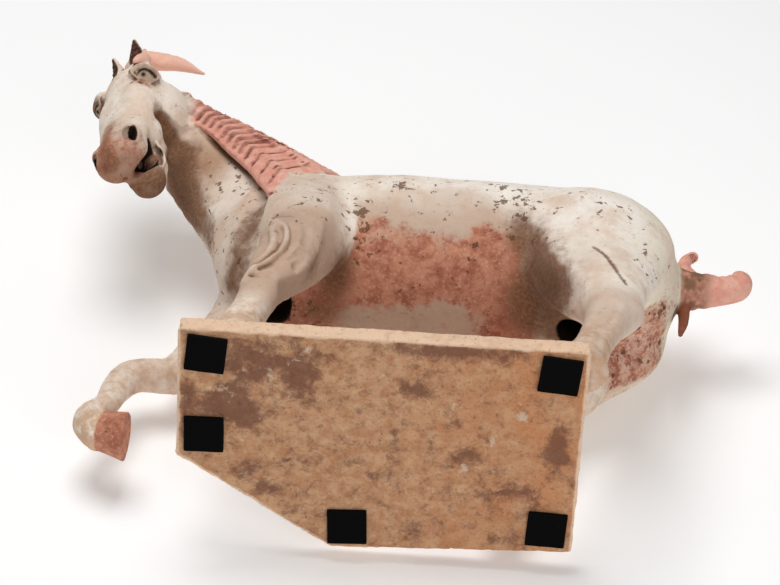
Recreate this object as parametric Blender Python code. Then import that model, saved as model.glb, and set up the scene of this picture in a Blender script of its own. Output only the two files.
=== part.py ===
"""A Tang dynasty tomb horse of fired and painted clay, prancing on its own slab.

The horse faces -X, its left flank faces -Y and it stands on +Z. Horse and slab
were joined before firing, so they are one solid; the felt pads are glued under it.
The figure is modelled as the potter would: strokes of clay are laid on, smoothed
together and cut away in a distance field, whose surface becomes the mesh.
"""

import itertools
import math

import bpy
import numpy as np

# Driving dimensions, in metres.
FIGURE_HEIGHT = 0.515  # from the top of the slab to the tip of the left ear
SLAB_THICKNESS = 0.016
SLAB_FRONT_MARGIN = 0.017  # slab beyond the standing fore hoof's toe
SLAB_REAR_MARGIN = -0.016  # the hind hooves' heels stand out past the slab
SLAB_SIDE_MARGIN = 0.003  # slab beyond the left hooves
SLAB_REAR_TAPER = 0.009  # the slab's right side comes in by this towards the rear
CORNER_CUT_LENGTH = 0.126  # the cut corner, along the slab's right side
CORNER_CUT_WIDTH = 0.080  # the cut corner, along the slab's front
PAD_SIDE = 0.032
PAD_THICKNESS = 0.003
PAD_INSET = 0.006  # from a pad to the slab's edge
CORNER_PAD_SHIFT = 0.009  # the pad at the cut corner is glued this much further forward
PAD_GAP = 0.0003
CLAY_CELL = 0.0042  # grid step of the clay
FIGURE_TRIANGLES = 8600

# The figure is laid out in millimetres of a horse whose height is this, in the
# frame of a slab whose underside is at 0, and scaled once to FIGURE_HEIGHT.
LAYOUT_HEIGHT = 515.0
LAYOUT_GROUND = 16.0  # height of the hooves' soles in that layout
SCALE = FIGURE_HEIGHT / LAYOUT_HEIGHT

FAR = 0.03  # beyond this distance the field isn't kept
BLOCK = 8  # grid points along each side of a block

# Where the hooves stand, in layout millimetres: x, y and the sole's radius.
FORE_HOOF = (-121.0, -74.0, 22.0)
HIND_STEP = 56.0  # the right hind hoof stands this much further forward
HIND_HOOVES = ((158.0, -74.0, 19.0), (158.0 - HIND_STEP, 71.0, 19.0))


class Form:
    """A shape as a distance function, with the box that holds it."""

    def __init__(self, low, high, distance):
        self.low = np.asarray(low, np.float32)
        self.high = np.asarray(high, np.float32)
        self.distance = distance


class Clay:
    """Clay on a grid of blocks: each point holds its distance to the surface, less than 0 inside."""

    def __init__(self, corners, cell):
        steps = cell * np.arange(BLOCK, dtype=np.float32)
        inner = np.stack(np.meshgrid(steps, steps, steps, indexing="ij"), -1).reshape(-1, 3)
        self.points = corners[:, None, :].astype(np.float32) + inner[None]
        self.low = corners
        self.high = corners + cell * (BLOCK - 1)
        self.field = np.full(self.points.shape[:2], FAR, np.float32)

    def near(self, form, reach):
        touches = (self.high >= form.low - reach) & (self.low <= form.high + reach)
        return np.flatnonzero(touches.all(axis=1))

    def add(self, form, blend=0.0):
        """Lays clay on, with a fillet about as wide as the blend."""
        chosen = self.near(form, FAR)
        found = form.distance(self.points[chosen])
        self.field[chosen] = smooth_least(self.field[chosen], found, blend)

    def cut(self, form, blend=0.0):
        """Takes clay away."""
        chosen = self.near(form, blend + 0.002)
        found = form.distance(self.points[chosen])
        self.field[chosen] = -smooth_least(-self.field[chosen], found, blend)

    def swell(self, form, height, width):
        """Raises the surface by the height along the form, or sinks it if that is negative."""
        chosen = self.near(form, width)
        away = np.maximum(form.distance(self.points[chosen]), 0.0) / width
        self.field[chosen] -= height * np.clip(1.0 - away * away, 0.0, 1.0) ** 2


def smooth_least(first, second, blend):
    least = np.minimum(first, second)
    if blend <= 0.0:
        return least
    share = np.maximum(blend - np.abs(first - second), 0.0) / blend
    return least - share * share * (blend / 4.0)


def place(point):
    """A layout point in metres, on top of the slab."""
    x, y, z = point
    return np.array((x * SCALE, y * SCALE, SLAB_THICKNESS + (z - LAYOUT_GROUND) * SCALE))


def curve_through(points, spans):
    """Catmull-Rom curve through the rows, each gap parted into this many spans."""
    rows = np.asarray(points, float)
    ends = np.vstack([2 * rows[0] - rows[1], rows, 2 * rows[-1] - rows[-2]])
    found = []
    for i in range(len(rows) - 1):
        a, b, c, d = ends[i : i + 4]
        for t in np.arange(spans) / spans:
            found.append(
                0.5 * (2 * b + (c - a) * t + (2 * a - 5 * b + 4 * c - d) * t**2 + (3 * b - a - 3 * c + d) * t**3)
            )
    found.append(rows[-1])
    return np.array(found)


def limb(stations, flat=(0.0, 1.0, 0.0), spans=3):
    """A rounded limb along a curve. Each station is x, y, z, radius and, if the limb
    is flattened along the flat axis, the share of the radius that is left there."""
    rows = np.array([tuple(row) + (1.0,) * (5 - len(row)) for row in stations])
    rows = curve_through(rows, spans) if len(rows) > 2 else rows
    middle = np.array([place(row[:3]) for row in rows])
    radii = rows[:, 3] * SCALE
    shares = rows[:, 4]
    axis = np.asarray(flat, float) / np.linalg.norm(flat)

    def distance(points):
        least = np.full(points.shape[:-1], FAR * 4, np.float32)
        for a, b, ra, rb, sa, sb in zip(middle, middle[1:], radii, radii[1:], shares, shares[1:]):
            run = b - a
            along = np.clip(((points - a.astype(np.float32)) @ run.astype(np.float32)) / (run @ run), 0.0, 1.0)
            off = points - a.astype(np.float32) - along[..., None] * run.astype(np.float32)
            share = sa + (sb - sa) * along
            side = off @ axis.astype(np.float32)
            squared = np.einsum("...i,...i->...", off, off) + side * side * (1.0 / share**2 - 1.0)
            found = np.sqrt(np.maximum(squared, 0.0)) - (ra + (rb - ra) * along)
            np.minimum(least, found * np.minimum(share, 1.0) ** 0.5, out=least)
        return least

    spread = (radii * np.maximum(shares, 1.0)).max()
    return Form(middle.min(0) - spread, middle.max(0) + spread, distance)


def turned(axes):
    """Three directions as unit rows."""
    rows = np.array(axes, float)
    return rows / np.linalg.norm(rows, axis=1)[:, None]


def ball(centre, radii, axes=((1, 0, 0), (0, 1, 0), (0, 0, 1))):
    """An ellipsoid whose radii lie along the three axes."""
    middle = place(centre).astype(np.float32)
    sizes = (np.array(radii, float) * SCALE).astype(np.float32)
    frame = turned(axes).astype(np.float32)

    def distance(points):
        local = (points - middle) @ frame.T
        once = np.linalg.norm(local / sizes, axis=-1)
        twice = np.linalg.norm(local / sizes**2, axis=-1)
        return once * (once - 1.0) / np.maximum(twice, 1e-6)

    reach = sizes.max()
    return Form(middle - reach, middle + reach, distance)


def plane(point, normal):
    """All that lies on the far side of a plane, away from its normal."""
    origin = place(point).astype(np.float32)
    out = (np.array(normal, float) / np.linalg.norm(normal)).astype(np.float32)
    return Form((-9,) * 3, (9,) * 3, lambda points: (points - origin) @ out)


def both(first, second):
    """Where two forms overlap, held in the first one's box."""
    return Form(first.low, first.high, lambda p: np.maximum(first.distance(p), second.distance(p)))


class Pose:
    """A place of its own on the figure: forward, left and down from a layout point,
    turned to the left and nodded down by degrees."""

    def __init__(self, origin, turn, nod):
        turn, nod = math.radians(turn), math.radians(nod)
        level = np.array((-math.cos(turn), -math.sin(turn), 0.0))
        self.origin = np.array(origin, float)
        self.forward = level * math.cos(nod) - np.array((0.0, 0.0, math.sin(nod)))
        self.left = np.array((math.sin(turn), -math.cos(turn), 0.0))
        self.down = -level * math.sin(nod) - np.array((0.0, 0.0, math.cos(nod)))
        self.axes = (self.forward, self.left, self.down)

    def at(self, forward, left, down):
        return self.origin + forward * self.forward + left * self.left + down * self.down

    def row(self, forward, left, down, *more):
        return tuple(self.at(forward, left, down)) + more


HEAD = Pose((-250.0, -80.0, 443.0), 42.0, 9.0)

# The mane's locks run from the crest, poll first, to its wavy edge on the left.
MANE_LOCKS = 13
MANE_CREST = [(-204, -61, 479), (-174, -53, 458), (-153, -48, 449), (-114, -43, 414), (-86, -38, 392), (-58, -33, 368)]
MANE_EDGE = [(-185, -61, 434), (-166, -57, 412), (-145, -54, 384), (-127, -51, 360), (-106, -50, 328)]
LOCK_RADIUS = 7.5

# The x and radius of the two round holes under the trunk, and how deep they run.
VENTS = ((-99.0, 17.0), (159.0, 16.0))
VENT_TOP = 236.0


def lay_trunk(clay):
    clay.add(
        limb(
            [
                (-84, 0, 279, 66, 0.90),
                (-56, 0, 291, 81, 0.86),
                (-10, 0, 297, 82, 0.92),
                (50, 0, 296, 81, 0.95),
                (110, 0, 296, 80, 0.95),
                (150, 0, 288, 82, 0.95),
                (174, 0, 279, 79, 0.98),
            ]
        )
    )


def lay_neck(clay):
    clay.add(
        limb(
            [
                (-80, 0, 310, 74, 0.76),
                (-112, -2, 354, 63, 0.70),
                (-148, -13, 399, 56, 0.62),
                (-182, -31, 427, 48, 0.54),
                (-206, -47, 441, 37, 0.58),
            ]
        ),
        0.02,
    )


def lay_left_fore_leg(clay):
    clay.add(
        limb(
            [
                (-76, -46, 290, 47, 0.68),
                (-75, -57, 238, 39, 0.88),
                (-79, -64, 190, 32, 0.92),
                (-89, -70, 150, 25, 0.92),
                (-101, -72, 112, 18, 0.92),
                (-109, -73, 76, 15.5, 0.95),
                (-114, -74, 52, 17, 1.0),
                (-117, -74, 40, 16.5, 1.0),
            ]
        ),
        0.014,
    )
    clay.add(ball((-100, -72, 152), (13, 15, 17)), 0.008)


def lay_right_fore_leg(clay):
    clay.add(
        limb(
            [
                (-96, 44, 290, 50, 0.64),
                (-124, 50, 244, 37, 0.8),
                (-151, 53, 207, 27, 0.9),
                (-178, 54, 175, 17, 0.95),
                (-203, 53, 171, 14.5, 1.0),
                (-216, 52, 162, 14.5, 1.0),
                (-224, 51, 140, 12.5, 1.0),
                (-229, 50, 114, 10.5, 1.0),
                (-238, 50, 97, 13, 1.0),
                (-239, 50, 84, 14, 1.0),
                (-232, 50, 76, 14.5, 1.0),
            ]
        ),
        0.014,
    )
    sole = plane((-207, 50, 70), (1, 0, -0.1))
    clay.add(both(limb([(-232, 50, 76, 15.5), (-205, 50, 69, 21)]), sole), 0.004)


def lay_hind_leg(clay, side, step):
    """side is -1 on the left and 1 on the right; step is how far forward this hoof stands."""
    out = abs(HIND_HOOVES[0 if side < 0 else 1][1])
    clay.add(
        limb(
            [
                (172, side * 40, 272, 60, 0.8),
                (174 - 0.4 * step, side * 47, 215, 52, 0.66),
                (181 - 0.85 * step, side * 56, 165, 33, 0.82),
                (184 - 0.95 * step, side * 62, 126, 23, 0.9),
                (176 - step, side * (out - 5), 90, 17, 0.95),
                (167 - step, side * (out - 2), 58, 15, 1.0),
                (163 - step, side * out, 42, 16, 1.0),
                (160 - step, side * out, 34, 16, 1.0),
            ]
        ),
        0.016,
    )
    clay.add(ball((198 - 0.95 * step, side * 63, 126), (10, 9, 16)), 0.010)
    clay.add(ball((147 - 0.6 * step, side * 57, 206), (32, 18, 34)), 0.012)
    clay.add(ball((178, side * 44, 260), (64, 36, 70)), 0.012)


def lay_hoof(clay, spot):
    x, y, radius = spot
    toe = limb([(x + 2, y, 36, radius - 6), (x, y, LAYOUT_GROUND - 3, radius)])
    clay.add(both(toe, plane((x, y, LAYOUT_GROUND - 6), (0, 0, -1))), 0.003)


def sink_hollow(clay, side, stations, depth, width):
    """Sinks a hollow along stations given for the left flank, or for the right one."""
    path = [(x, side * y, z, radius) for x, y, z, radius in stations]
    clay.swell(limb(path), -depth, width)


def lay_muscles(clay):
    """The hollows that part breast, elbow and thigh from their neighbours."""
    breast = [(-114, 60, 306, 3), (-126, 58, 268, 6), (-130, 54, 226, 6), (-128, 46, 190, 4)]
    elbow = [(-37, 80, 290, 1), (-34, 78, 245, 2), (-39, 74, 205, 3), (-56, 62, 172, 2)]
    stifle = [(92, 80, 292, 1), (92, 80, 250, 2), (100, 76, 205, 4), (134, 62, 160, 3)]
    sink_hollow(clay, -1, breast, 0.010, 0.020)
    for side in (-1, 1):
        sink_hollow(clay, side, elbow, 0.005, 0.024)
        sink_hollow(clay, side, stifle, 0.007, 0.024)


def cut_vents(clay):
    for x, radius in VENTS:
        clay.cut(limb([(x, 0, 150, radius), (x, 0, VENT_TOP, radius)]), 0.002)


def lay_head(clay):
    row = HEAD.row
    clay.add(head_ball((-18, 0, -3), (28, 25, 30)), 0.012)
    bridge = [row(-9, 0, 0, 25, 0.8), row(-4, 0, 48, 23, 0.8), row(1, 0, 98, 19, 0.85)]
    clay.add(limb(bridge, HEAD.forward), 0.010)
    clay.add(head_ball((-28, 0, 28), (26, 22, 40)), 0.010)
    for side in (-1, 1):
        clay.add(head_ball((-36, side * 16, 13), (30, 15, 33)), 0.006)
    clay.add(head_ball((1, 0, 109), (19, 21, 22)), 0.010)
    clay.add(head_ball((5, 0, 126), (14, 17, 11)), 0.008)
    jaw = [row(-44, 0, 44, 14, 1.1), row(-42, 0, 82, 11, 1.3), row(-34, 0, 110, 11, 1.35)]
    clay.add(limb(jaw, HEAD.left), 0.008)
    clay.add(head_ball((-27, 0, 122), (14, 16, 12)), 0.008)
    clay.add(head_ball((-26, 0, 62), (20, 18, 27)), 0.008)
    clay.add(limb([row(-26, 0, 84, 9), row(-20, 0, 104, 8), row(-13, 0, 120, 5)]), 0.003)
    for side in (-1, 1):
        clay.add(head_ball((-2, side * 25, 4), (12, 9, 11)), 0.004)
        brow = [
            row(9, side * 19, -2, 4),
            row(4, side * 27, -10, 5),
            row(-8, side * 30, -10, 5),
            row(-18, side * 28, -1, 3),
        ]
        clay.add(limb(brow), 0.006)
        clay.add(head_ball((12, side * 18, 105), (9, 10, 12)), 0.006)
        clay.cut(head_ball((16, side * 22, 106), (5, 7, 8)), 0.002)
        lay_ear(clay, side)


def head_ball(spot, radii):
    return ball(HEAD.at(*spot), radii, HEAD.axes)


def lay_ear(clay, side):
    row = HEAD.row
    clay.add(limb([row(-9, side * 12, -20, 11), row(-4, side * 14, -44, 10), row(1, side * 16, -70, 2.5)]), 0.005)
    clay.cut(limb([row(4, side * 17, -28, 5), row(6, side * 19, -44, 6), row(6, side * 18, -62, 2)]), 0.002)


def lay_forelock(clay):
    """The bound forelock, swept back over the left ear's root like a horn."""
    row = HEAD.row
    root = [row(-6, 4, -34, 9), row(-18, 9, -52, 10), row(-30, 17, -60, 9.5)]
    clay.add(limb(root + [row(-48, 28, -59, 7), row(-69, 39, -52, 2.5)]), 0.005)


def lay_tail(clay):
    clay.add(
        limb([(240, 0, 280, 20), (266, 0, 281, 17), (290, 0, 284, 13), (304, 0, 292, 14), (308, 0, 298, 13)]),
        0.008,
    )
    clay.add(limb([(262, 0, 296, 10), (258, 0, 318, 7), (262, 0, 336, 5), (270, 0, 337, 4)], spans=4), 0.004)
    clay.add(limb([(256, 0, 262, 10), (255, 0, 235, 7), (251, 0, 198, 3)]), 0.004)


def lay_mane(clay):
    """A crest pad from poll to withers, and the locks that fall from it on the left."""
    pad = [(-206, -50, 474, 12), (-174, -42, 452, 15), (-150, -34, 442, 17), (-114, -26, 410, 20), (-84, -22, 384, 20)]
    clay.add(limb(pad + [(-58, -18, 361, 18)]), 0.008)
    crest = curve_through(MANE_CREST, 20)
    edge = curve_through(MANE_EDGE, 20)
    for share in np.linspace(0.0, 1.0, MANE_LOCKS):
        top = crest[round(share * (len(crest) - 1))]
        tip = edge[round(share * (len(edge) - 1))]
        middle = (top + tip) / 2 + np.array((-2.0, -8.0, 3.0))
        clay.add(limb([(*top, LOCK_RADIUS), (*middle, LOCK_RADIUS), (*tip, LOCK_RADIUS * 0.7)]), 0.003)


def sculpt(clay):
    lay_trunk(clay)
    lay_neck(clay)
    lay_hind_leg(clay, -1, 0.0)
    lay_hind_leg(clay, 1, HIND_STEP)
    lay_left_fore_leg(clay)
    lay_right_fore_leg(clay)
    lay_muscles(clay)
    for spot in (FORE_HOOF,) + HIND_HOOVES:
        lay_hoof(clay, spot)
    lay_head(clay)
    lay_mane(clay)
    lay_forelock(clay)
    lay_tail(clay)
    cut_vents(clay)


def even_order(first):
    """The four corners with these first, in an order that keeps a tetrahedron's handedness."""
    rest = [corner for corner in range(4) if corner not in first]
    for tail in itertools.permutations(rest):
        order = tuple(first) + tail
        swaps = sum(order[i] > order[j] for i in range(4) for j in range(i + 1, 4))
        if swaps % 2 == 0:
            return order
    return even_order(tuple(first)[::-1])


def skin(field, low, cell):
    """Points and triangles of the field's zero surface. Each cube is parted into six
    tetrahedra, so that the surface is closed whatever passes through the cube."""
    shape = field.shape
    strides = np.array((shape[1] * shape[2], shape[2], 1))
    inside = field < 0
    count = np.zeros(tuple(n - 1 for n in shape), np.int8)
    for dx, dy, dz in itertools.product((0, 1), repeat=3):
        count += inside[dx : shape[0] - 1 + dx, dy : shape[1] - 1 + dy, dz : shape[2] - 1 + dz]
    crossed = np.argwhere((count > 0) & (count < 8)) @ strides
    values = field.ravel()
    edges = []
    for order in itertools.permutations(range(3)):
        steps = np.concatenate([[0], np.cumsum(strides[list(order)])])
        if sum(order[i] > order[j] for i in range(3) for j in range(i + 1, 3)) % 2:
            steps[[1, 2]] = steps[[2, 1]]
        tets = crossed[:, None] + steps
        code = (values[tets] < 0) @ np.array((1, 2, 4, 8))
        for pattern in range(1, 15):
            rows = tets[code == pattern]
            kept = [corner for corner in range(4) if pattern >> corner & 1]
            if len(kept) == 2:
                i, j, k, m = even_order(kept)
                corners = [(i, k), (i, m), (j, m), (i, k), (j, m), (j, k)]
            elif len(kept) == 1:
                i, j, k, m = even_order(kept)
                corners = [(i, j), (i, k), (i, m)]
            else:
                i, j, k, m = even_order([corner for corner in range(4) if corner not in kept])
                corners = [(i, j), (i, m), (i, k)]
            edges.append(np.stack([rows[:, pair] for pair in corners], 1).reshape(-1, 2))
    ends = np.sort(np.concatenate(edges), axis=1)
    total = len(values)
    keys, index = np.unique(ends[:, 0] * total + ends[:, 1], return_inverse=True)
    first, second = keys // total, keys % total
    here, there = values[first], values[second]
    share = np.clip(here / (here - there), 0.05, 0.95)[:, None]
    near = np.stack(np.unravel_index(first, shape), 1)
    far = np.stack(np.unravel_index(second, shape), 1)
    points = low + cell * (near + share * (far - near))
    return points, index.reshape(-1, 3)


def modelled():
    """The figure's surface, as points and triangles."""
    low = place((-300, -150, 0)) - FAR
    high = place((340, 120, 560))
    size = CLAY_CELL * BLOCK
    counts = np.ceil((high - low) / size).astype(int)
    corners = low + size * np.stack(np.meshgrid(*map(np.arange, counts), indexing="ij"), -1).reshape(-1, 3)
    clay = Clay(corners, CLAY_CELL)
    sculpt(clay)
    blocks = clay.field.reshape(*counts, BLOCK, BLOCK, BLOCK)
    field = blocks.transpose(0, 3, 1, 4, 2, 5).reshape(counts * BLOCK)
    return skin(field, low, CLAY_CELL)


def painted(name, colour, roughness):
    material = bpy.data.materials.new(name)
    material.use_nodes = True
    shader = material.node_tree.nodes["Principled BSDF"]
    shader.inputs["Base Color"].default_value = (*colour, 1.0)
    shader.inputs["Roughness"].default_value = roughness
    shader.inputs["Metallic"].default_value = 0.0
    return material


def mesh_object(name, points, faces, material=None):
    mesh = bpy.data.meshes.new(name)
    mesh.from_pydata([tuple(map(float, p)) for p in points], [], [tuple(map(int, f)) for f in faces])
    mesh.update()
    thing = bpy.data.objects.new(name, mesh)
    bpy.context.scene.collection.objects.link(thing)
    if material:
        mesh.materials.append(material)
    return thing


def prism(name, outline, bottom, top, material=None):
    """An upright block over an outline that runs anticlockwise from above."""
    count = len(outline)
    points = [(x, y, z) for z in (bottom, top) for x, y in outline]
    faces = [tuple(range(count))[::-1], tuple(range(count, 2 * count))]
    faces += [(i, (i + 1) % count, (i + 1) % count + count, i + count) for i in range(count)]
    return mesh_object(name, points, faces, material)


def slab_sides():
    """Front, rear, left and right limits of the slab: front, rear, left, right, right at the rear."""
    front = (FORE_HOOF[0] - FORE_HOOF[2]) * SCALE - SLAB_FRONT_MARGIN
    rear = (HIND_HOOVES[0][0] + HIND_HOOVES[0][2]) * SCALE + SLAB_REAR_MARGIN
    left = (FORE_HOOF[1] - FORE_HOOF[2]) * SCALE - SLAB_SIDE_MARGIN
    rear_right = (HIND_HOOVES[1][1] + HIND_HOOVES[1][2]) * SCALE
    return front, rear, left, rear_right + SLAB_REAR_TAPER, rear_right


def slab_outline():
    front, rear, left, right, rear_right = slab_sides()
    return [
        (front, left),
        (rear, left),
        (rear, rear_right),
        (front + CORNER_CUT_LENGTH, right),
        (front, right - CORNER_CUT_WIDTH),
    ]


def pad_spots():
    """Centre and turn in degrees of each pad."""
    front, rear, left, right, rear_right = slab_sides()
    in_by = PAD_INSET + PAD_SIDE / 2
    return [
        (front + in_by, left + in_by, 5.0),
        (front + in_by, right - CORNER_CUT_WIDTH - in_by, -1.0),
        (rear - in_by, left + in_by, 5.0),
        (front + CORNER_CUT_LENGTH + in_by - CORNER_PAD_SHIFT, right - in_by, -3.0),
        (rear - in_by, rear_right - in_by, 2.0),
    ]


def build_pads():
    felt = painted("felt", (0.012, 0.012, 0.013), 0.95)
    half = PAD_SIDE / 2
    for number, (x, y, turn) in enumerate(pad_spots(), 1):
        bend = math.radians(turn)
        outline = []
        for u, v in ((-half, -half), (half, -half), (half, half), (-half, half)):
            outline.append((x + u * math.cos(bend) - v * math.sin(bend), y + u * math.sin(bend) + v * math.cos(bend)))
        prism(f"felt_pad_{number}", outline, -PAD_GAP - PAD_THICKNESS, -PAD_GAP, felt)


def build_horse():
    pottery = painted("painted_pottery", (0.60, 0.47, 0.37), 0.85)
    slab = prism("slab", slab_outline(), 0.0, SLAB_THICKNESS)
    slab.hide_render = True
    slab.display_type = "WIRE"
    points, faces = modelled()
    horse = mesh_object("horse", points, faces, pottery)
    thin = horse.modifiers.new("fewer_faces", "DECIMATE")
    thin.ratio = min(1.0, FIGURE_TRIANGLES / len(faces))
    join = horse.modifiers.new("join_slab", "BOOLEAN")
    join.operation = "UNION"
    join.object = slab
    horse.data.shade_smooth()


def stand_over_origin():
    """Hangs all on one empty, placed so that the lowest pad rests on z = 0 and the
    middle of the whole model's box is over the origin."""
    things = list(bpy.context.scene.objects)
    stand = bpy.data.objects.new("stand", None)
    bpy.context.scene.collection.objects.link(stand)
    for thing in things:
        thing.parent = stand
    graph = bpy.context.evaluated_depsgraph_get()
    corners = np.array([tuple(corner) for thing in things for corner in thing.evaluated_get(graph).bound_box])
    low, high = corners.min(0), corners.max(0)
    stand.location = (-(low[0] + high[0]) / 2, -(low[1] + high[1]) / 2, -low[2])


def main():
    for thing in list(bpy.data.objects):
        bpy.data.objects.remove(thing)
    build_horse()
    build_pads()
    stand_over_origin()


main()
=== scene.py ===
"""The looks of a Tang dynasty tomb horse of fired and painted clay.

The strokes of clay that make the solid are laid again on a finer grid, then the face,
hair, hooves, sinews and the worn slab are carved into them. Colour, dirt and lost slip
come from masks that are worked out at each point of the surface, and so does painted
shade in hollows, creases and holes.
"""

import concurrent.futures
import itertools
import math

import bpy
import numpy as np
from mathutils import Matrix, Vector


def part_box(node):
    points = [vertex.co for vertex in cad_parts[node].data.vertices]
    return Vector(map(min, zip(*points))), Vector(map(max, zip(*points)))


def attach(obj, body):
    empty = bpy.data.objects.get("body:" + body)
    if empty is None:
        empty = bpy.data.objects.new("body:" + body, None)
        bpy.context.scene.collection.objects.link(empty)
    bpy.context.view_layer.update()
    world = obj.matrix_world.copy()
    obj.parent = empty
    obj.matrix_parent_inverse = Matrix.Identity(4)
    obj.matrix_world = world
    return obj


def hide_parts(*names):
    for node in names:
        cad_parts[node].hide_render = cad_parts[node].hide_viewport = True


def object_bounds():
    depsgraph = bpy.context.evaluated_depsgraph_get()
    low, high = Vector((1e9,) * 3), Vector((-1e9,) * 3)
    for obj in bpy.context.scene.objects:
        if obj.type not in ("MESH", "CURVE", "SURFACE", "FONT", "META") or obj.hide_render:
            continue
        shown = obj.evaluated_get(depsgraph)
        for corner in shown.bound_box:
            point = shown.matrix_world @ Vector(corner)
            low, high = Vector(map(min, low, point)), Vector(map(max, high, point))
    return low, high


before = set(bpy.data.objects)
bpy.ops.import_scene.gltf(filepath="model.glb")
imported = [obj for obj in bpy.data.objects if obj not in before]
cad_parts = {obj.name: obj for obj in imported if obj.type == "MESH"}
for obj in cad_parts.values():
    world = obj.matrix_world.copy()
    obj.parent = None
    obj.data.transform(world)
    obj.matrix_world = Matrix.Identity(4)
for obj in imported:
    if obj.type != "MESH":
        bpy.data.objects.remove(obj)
cad_low, cad_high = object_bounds()

# Driving dimensions of the solid, in metres.
FIGURE_HEIGHT = 0.515
SLAB_THICKNESS = 0.016
SLAB_FRONT_MARGIN = 0.017
SLAB_REAR_MARGIN = -0.016
SLAB_SIDE_MARGIN = 0.003
SLAB_REAR_TAPER = 0.009
CORNER_CUT_LENGTH = 0.126
CORNER_CUT_WIDTH = 0.080
PAD_SIDE = 0.032
PAD_INSET = 0.006
PAD_GAP = 0.0003
PAD_NAMES = [f"felt_pad_{number}" for number in range(1, 6)]
PAD_TURNS = (5.0, -1.0, 5.0, -3.0, 2.0)

# The figure is laid out in millimetres of a horse whose height is this.
LAYOUT_HEIGHT = 515.0
LAYOUT_GROUND = 16.0
SCALE = FIGURE_HEIGHT / LAYOUT_HEIGHT
FORE_HOOF = (-121.0, -74.0, 22.0)
HIND_STEP = 56.0
HIND_HOOVES = ((158.0, -74.0, 19.0), (158.0 - HIND_STEP, 71.0, 19.0))

# The clay's grid: coarse all over, and finer towards the head.
COARSE = 0.0018
FINE = 0.00115
HEAD_FROM_X = -0.200
HEAD_FROM_Z = 0.330
BLOCK = 8
FAR = 0.022
CUT_REACH = 0.003
GRID_MARGIN = 0.008
SURFACE_MARGIN = 0.010
SURFACE_SPACING = 0.004
SURFACE_TRIANGLES = 190000
WORKERS = 4

SIDES = (-1, 1)
CUBE_CORNERS = list(itertools.product((0, 1), repeat=3))


def slab_sides():
    """Front, rear, left, right and rear right limits of the slab, in its own frame."""
    front = (FORE_HOOF[0] - FORE_HOOF[2]) * SCALE - SLAB_FRONT_MARGIN
    rear = (HIND_HOOVES[0][0] + HIND_HOOVES[0][2]) * SCALE + SLAB_REAR_MARGIN
    left = (FORE_HOOF[1] - FORE_HOOF[2]) * SCALE - SLAB_SIDE_MARGIN
    rear_right = (HIND_HOOVES[1][1] + HIND_HOOVES[1][2]) * SCALE
    return front, rear, left, rear_right + SLAB_REAR_TAPER, rear_right


def slab_origin():
    """Where the slab's own frame lies in the model: its front left pad shows it."""
    front, _, left, _, _ = slab_sides()
    low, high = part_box(PAD_NAMES[0])
    in_by = PAD_INSET + PAD_SIDE / 2
    x = (low.x + high.x) / 2 - front - in_by
    y = (low.y + high.y) / 2 - left - in_by
    return np.array((x, y, high.z + PAD_GAP))


ORIGIN = slab_origin()


def place(point):
    """A layout point in metres in the model's frame."""
    x, y, z = point
    return ORIGIN + np.array((x * SCALE, y * SCALE, SLAB_THICKNESS + (z - LAYOUT_GROUND) * SCALE))


def laid_out(points):
    """Points of the model in layout millimetres."""
    local = (points - ORIGIN) / SCALE
    local[:, 2] += LAYOUT_GROUND - SLAB_THICKNESS / SCALE
    return local


class Form:
    """A shape made of parts, each a box and the distance function of what it holds."""

    def __init__(self, parts):
        self.parts = [(np.asarray(a, np.float32), np.asarray(b, np.float32), f) for a, b, f in parts]
        self.low = np.min([part[0] for part in self.parts], axis=0)
        self.high = np.max([part[1] for part in self.parts], axis=0)

    def distance(self, points):
        """Distance at each point, or FAR where all parts are further away than that."""
        least = np.full(len(points), FAR, np.float32)
        for low, high, measure in self.parts:
            near = np.flatnonzero(((points > low - FAR) & (points < high + FAR)).all(axis=1))
            if len(near):
                least[near] = np.minimum(least[near], measure(points[near].astype(np.float32)))
        return least


class Clay:
    """Blocks of grid points, each with its distance to the clay's surface, negative inside."""

    def __init__(self, axes, blocks):
        spans = [axis[: len(axis) // BLOCK * BLOCK].reshape(-1, BLOCK) for axis in axes]
        self.blocks = blocks
        chosen = [span[blocks[:, i]].astype(np.float32) for i, span in enumerate(spans)]
        spread = [np.expand_dims(rows, others) for rows, others in zip(chosen, ((2, 3), (1, 3), (1, 2)))]
        self.points = np.stack(np.broadcast_arrays(*spread), axis=-1).reshape(len(blocks), BLOCK**3, 3)
        self.low = np.stack([rows[:, 0] for rows in chosen], axis=1)
        self.high = np.stack([rows[:, -1] for rows in chosen], axis=1)
        self.field = np.full(self.points.shape[:2], FAR, np.float32)

    def near(self, low, high, reach):
        touches = (self.high >= low - reach) & (self.low <= high + reach)
        return touches.all(axis=1)

    def measured(self, form, reach):
        """The blocks that the form reaches, and its distances there."""
        chosen = np.flatnonzero(self.near(form.low, form.high, reach))
        found = np.full((len(chosen), BLOCK**3), FAR, np.float32)
        for low, high, measure in form.parts:
            close = np.flatnonzero(self.near(low, high, reach)[chosen])
            if len(close):
                found[close] = np.minimum(found[close], measure(self.points[chosen[close]]))
        return chosen, found

    def add(self, form, blend=0.0):
        """Lays clay on, with a fillet about as wide as the blend."""
        chosen, found = self.measured(form, FAR)
        self.field[chosen] = smooth_least(self.field[chosen], found, blend)

    def cut(self, form, blend):
        """Takes clay away."""
        chosen, found = self.measured(form, blend + CUT_REACH)
        self.field[chosen] = -smooth_least(-self.field[chosen], found, blend)

    def swell(self, form, height, width):
        """Raises the surface by the height along the form, or sinks it if that is negative."""
        chosen, found = self.measured(form, width)
        away = np.maximum(found, 0.0) / width
        self.field[chosen] -= height * np.clip(1.0 - away * away, 0.0, 1.0) ** 2


def smooth_least(first, second, blend):
    least = np.minimum(first, second)
    if blend <= 0.0:
        return least
    share = np.maximum(blend - np.abs(first - second), 0.0) / blend
    return least - share * share * (blend / 4.0)


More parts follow.
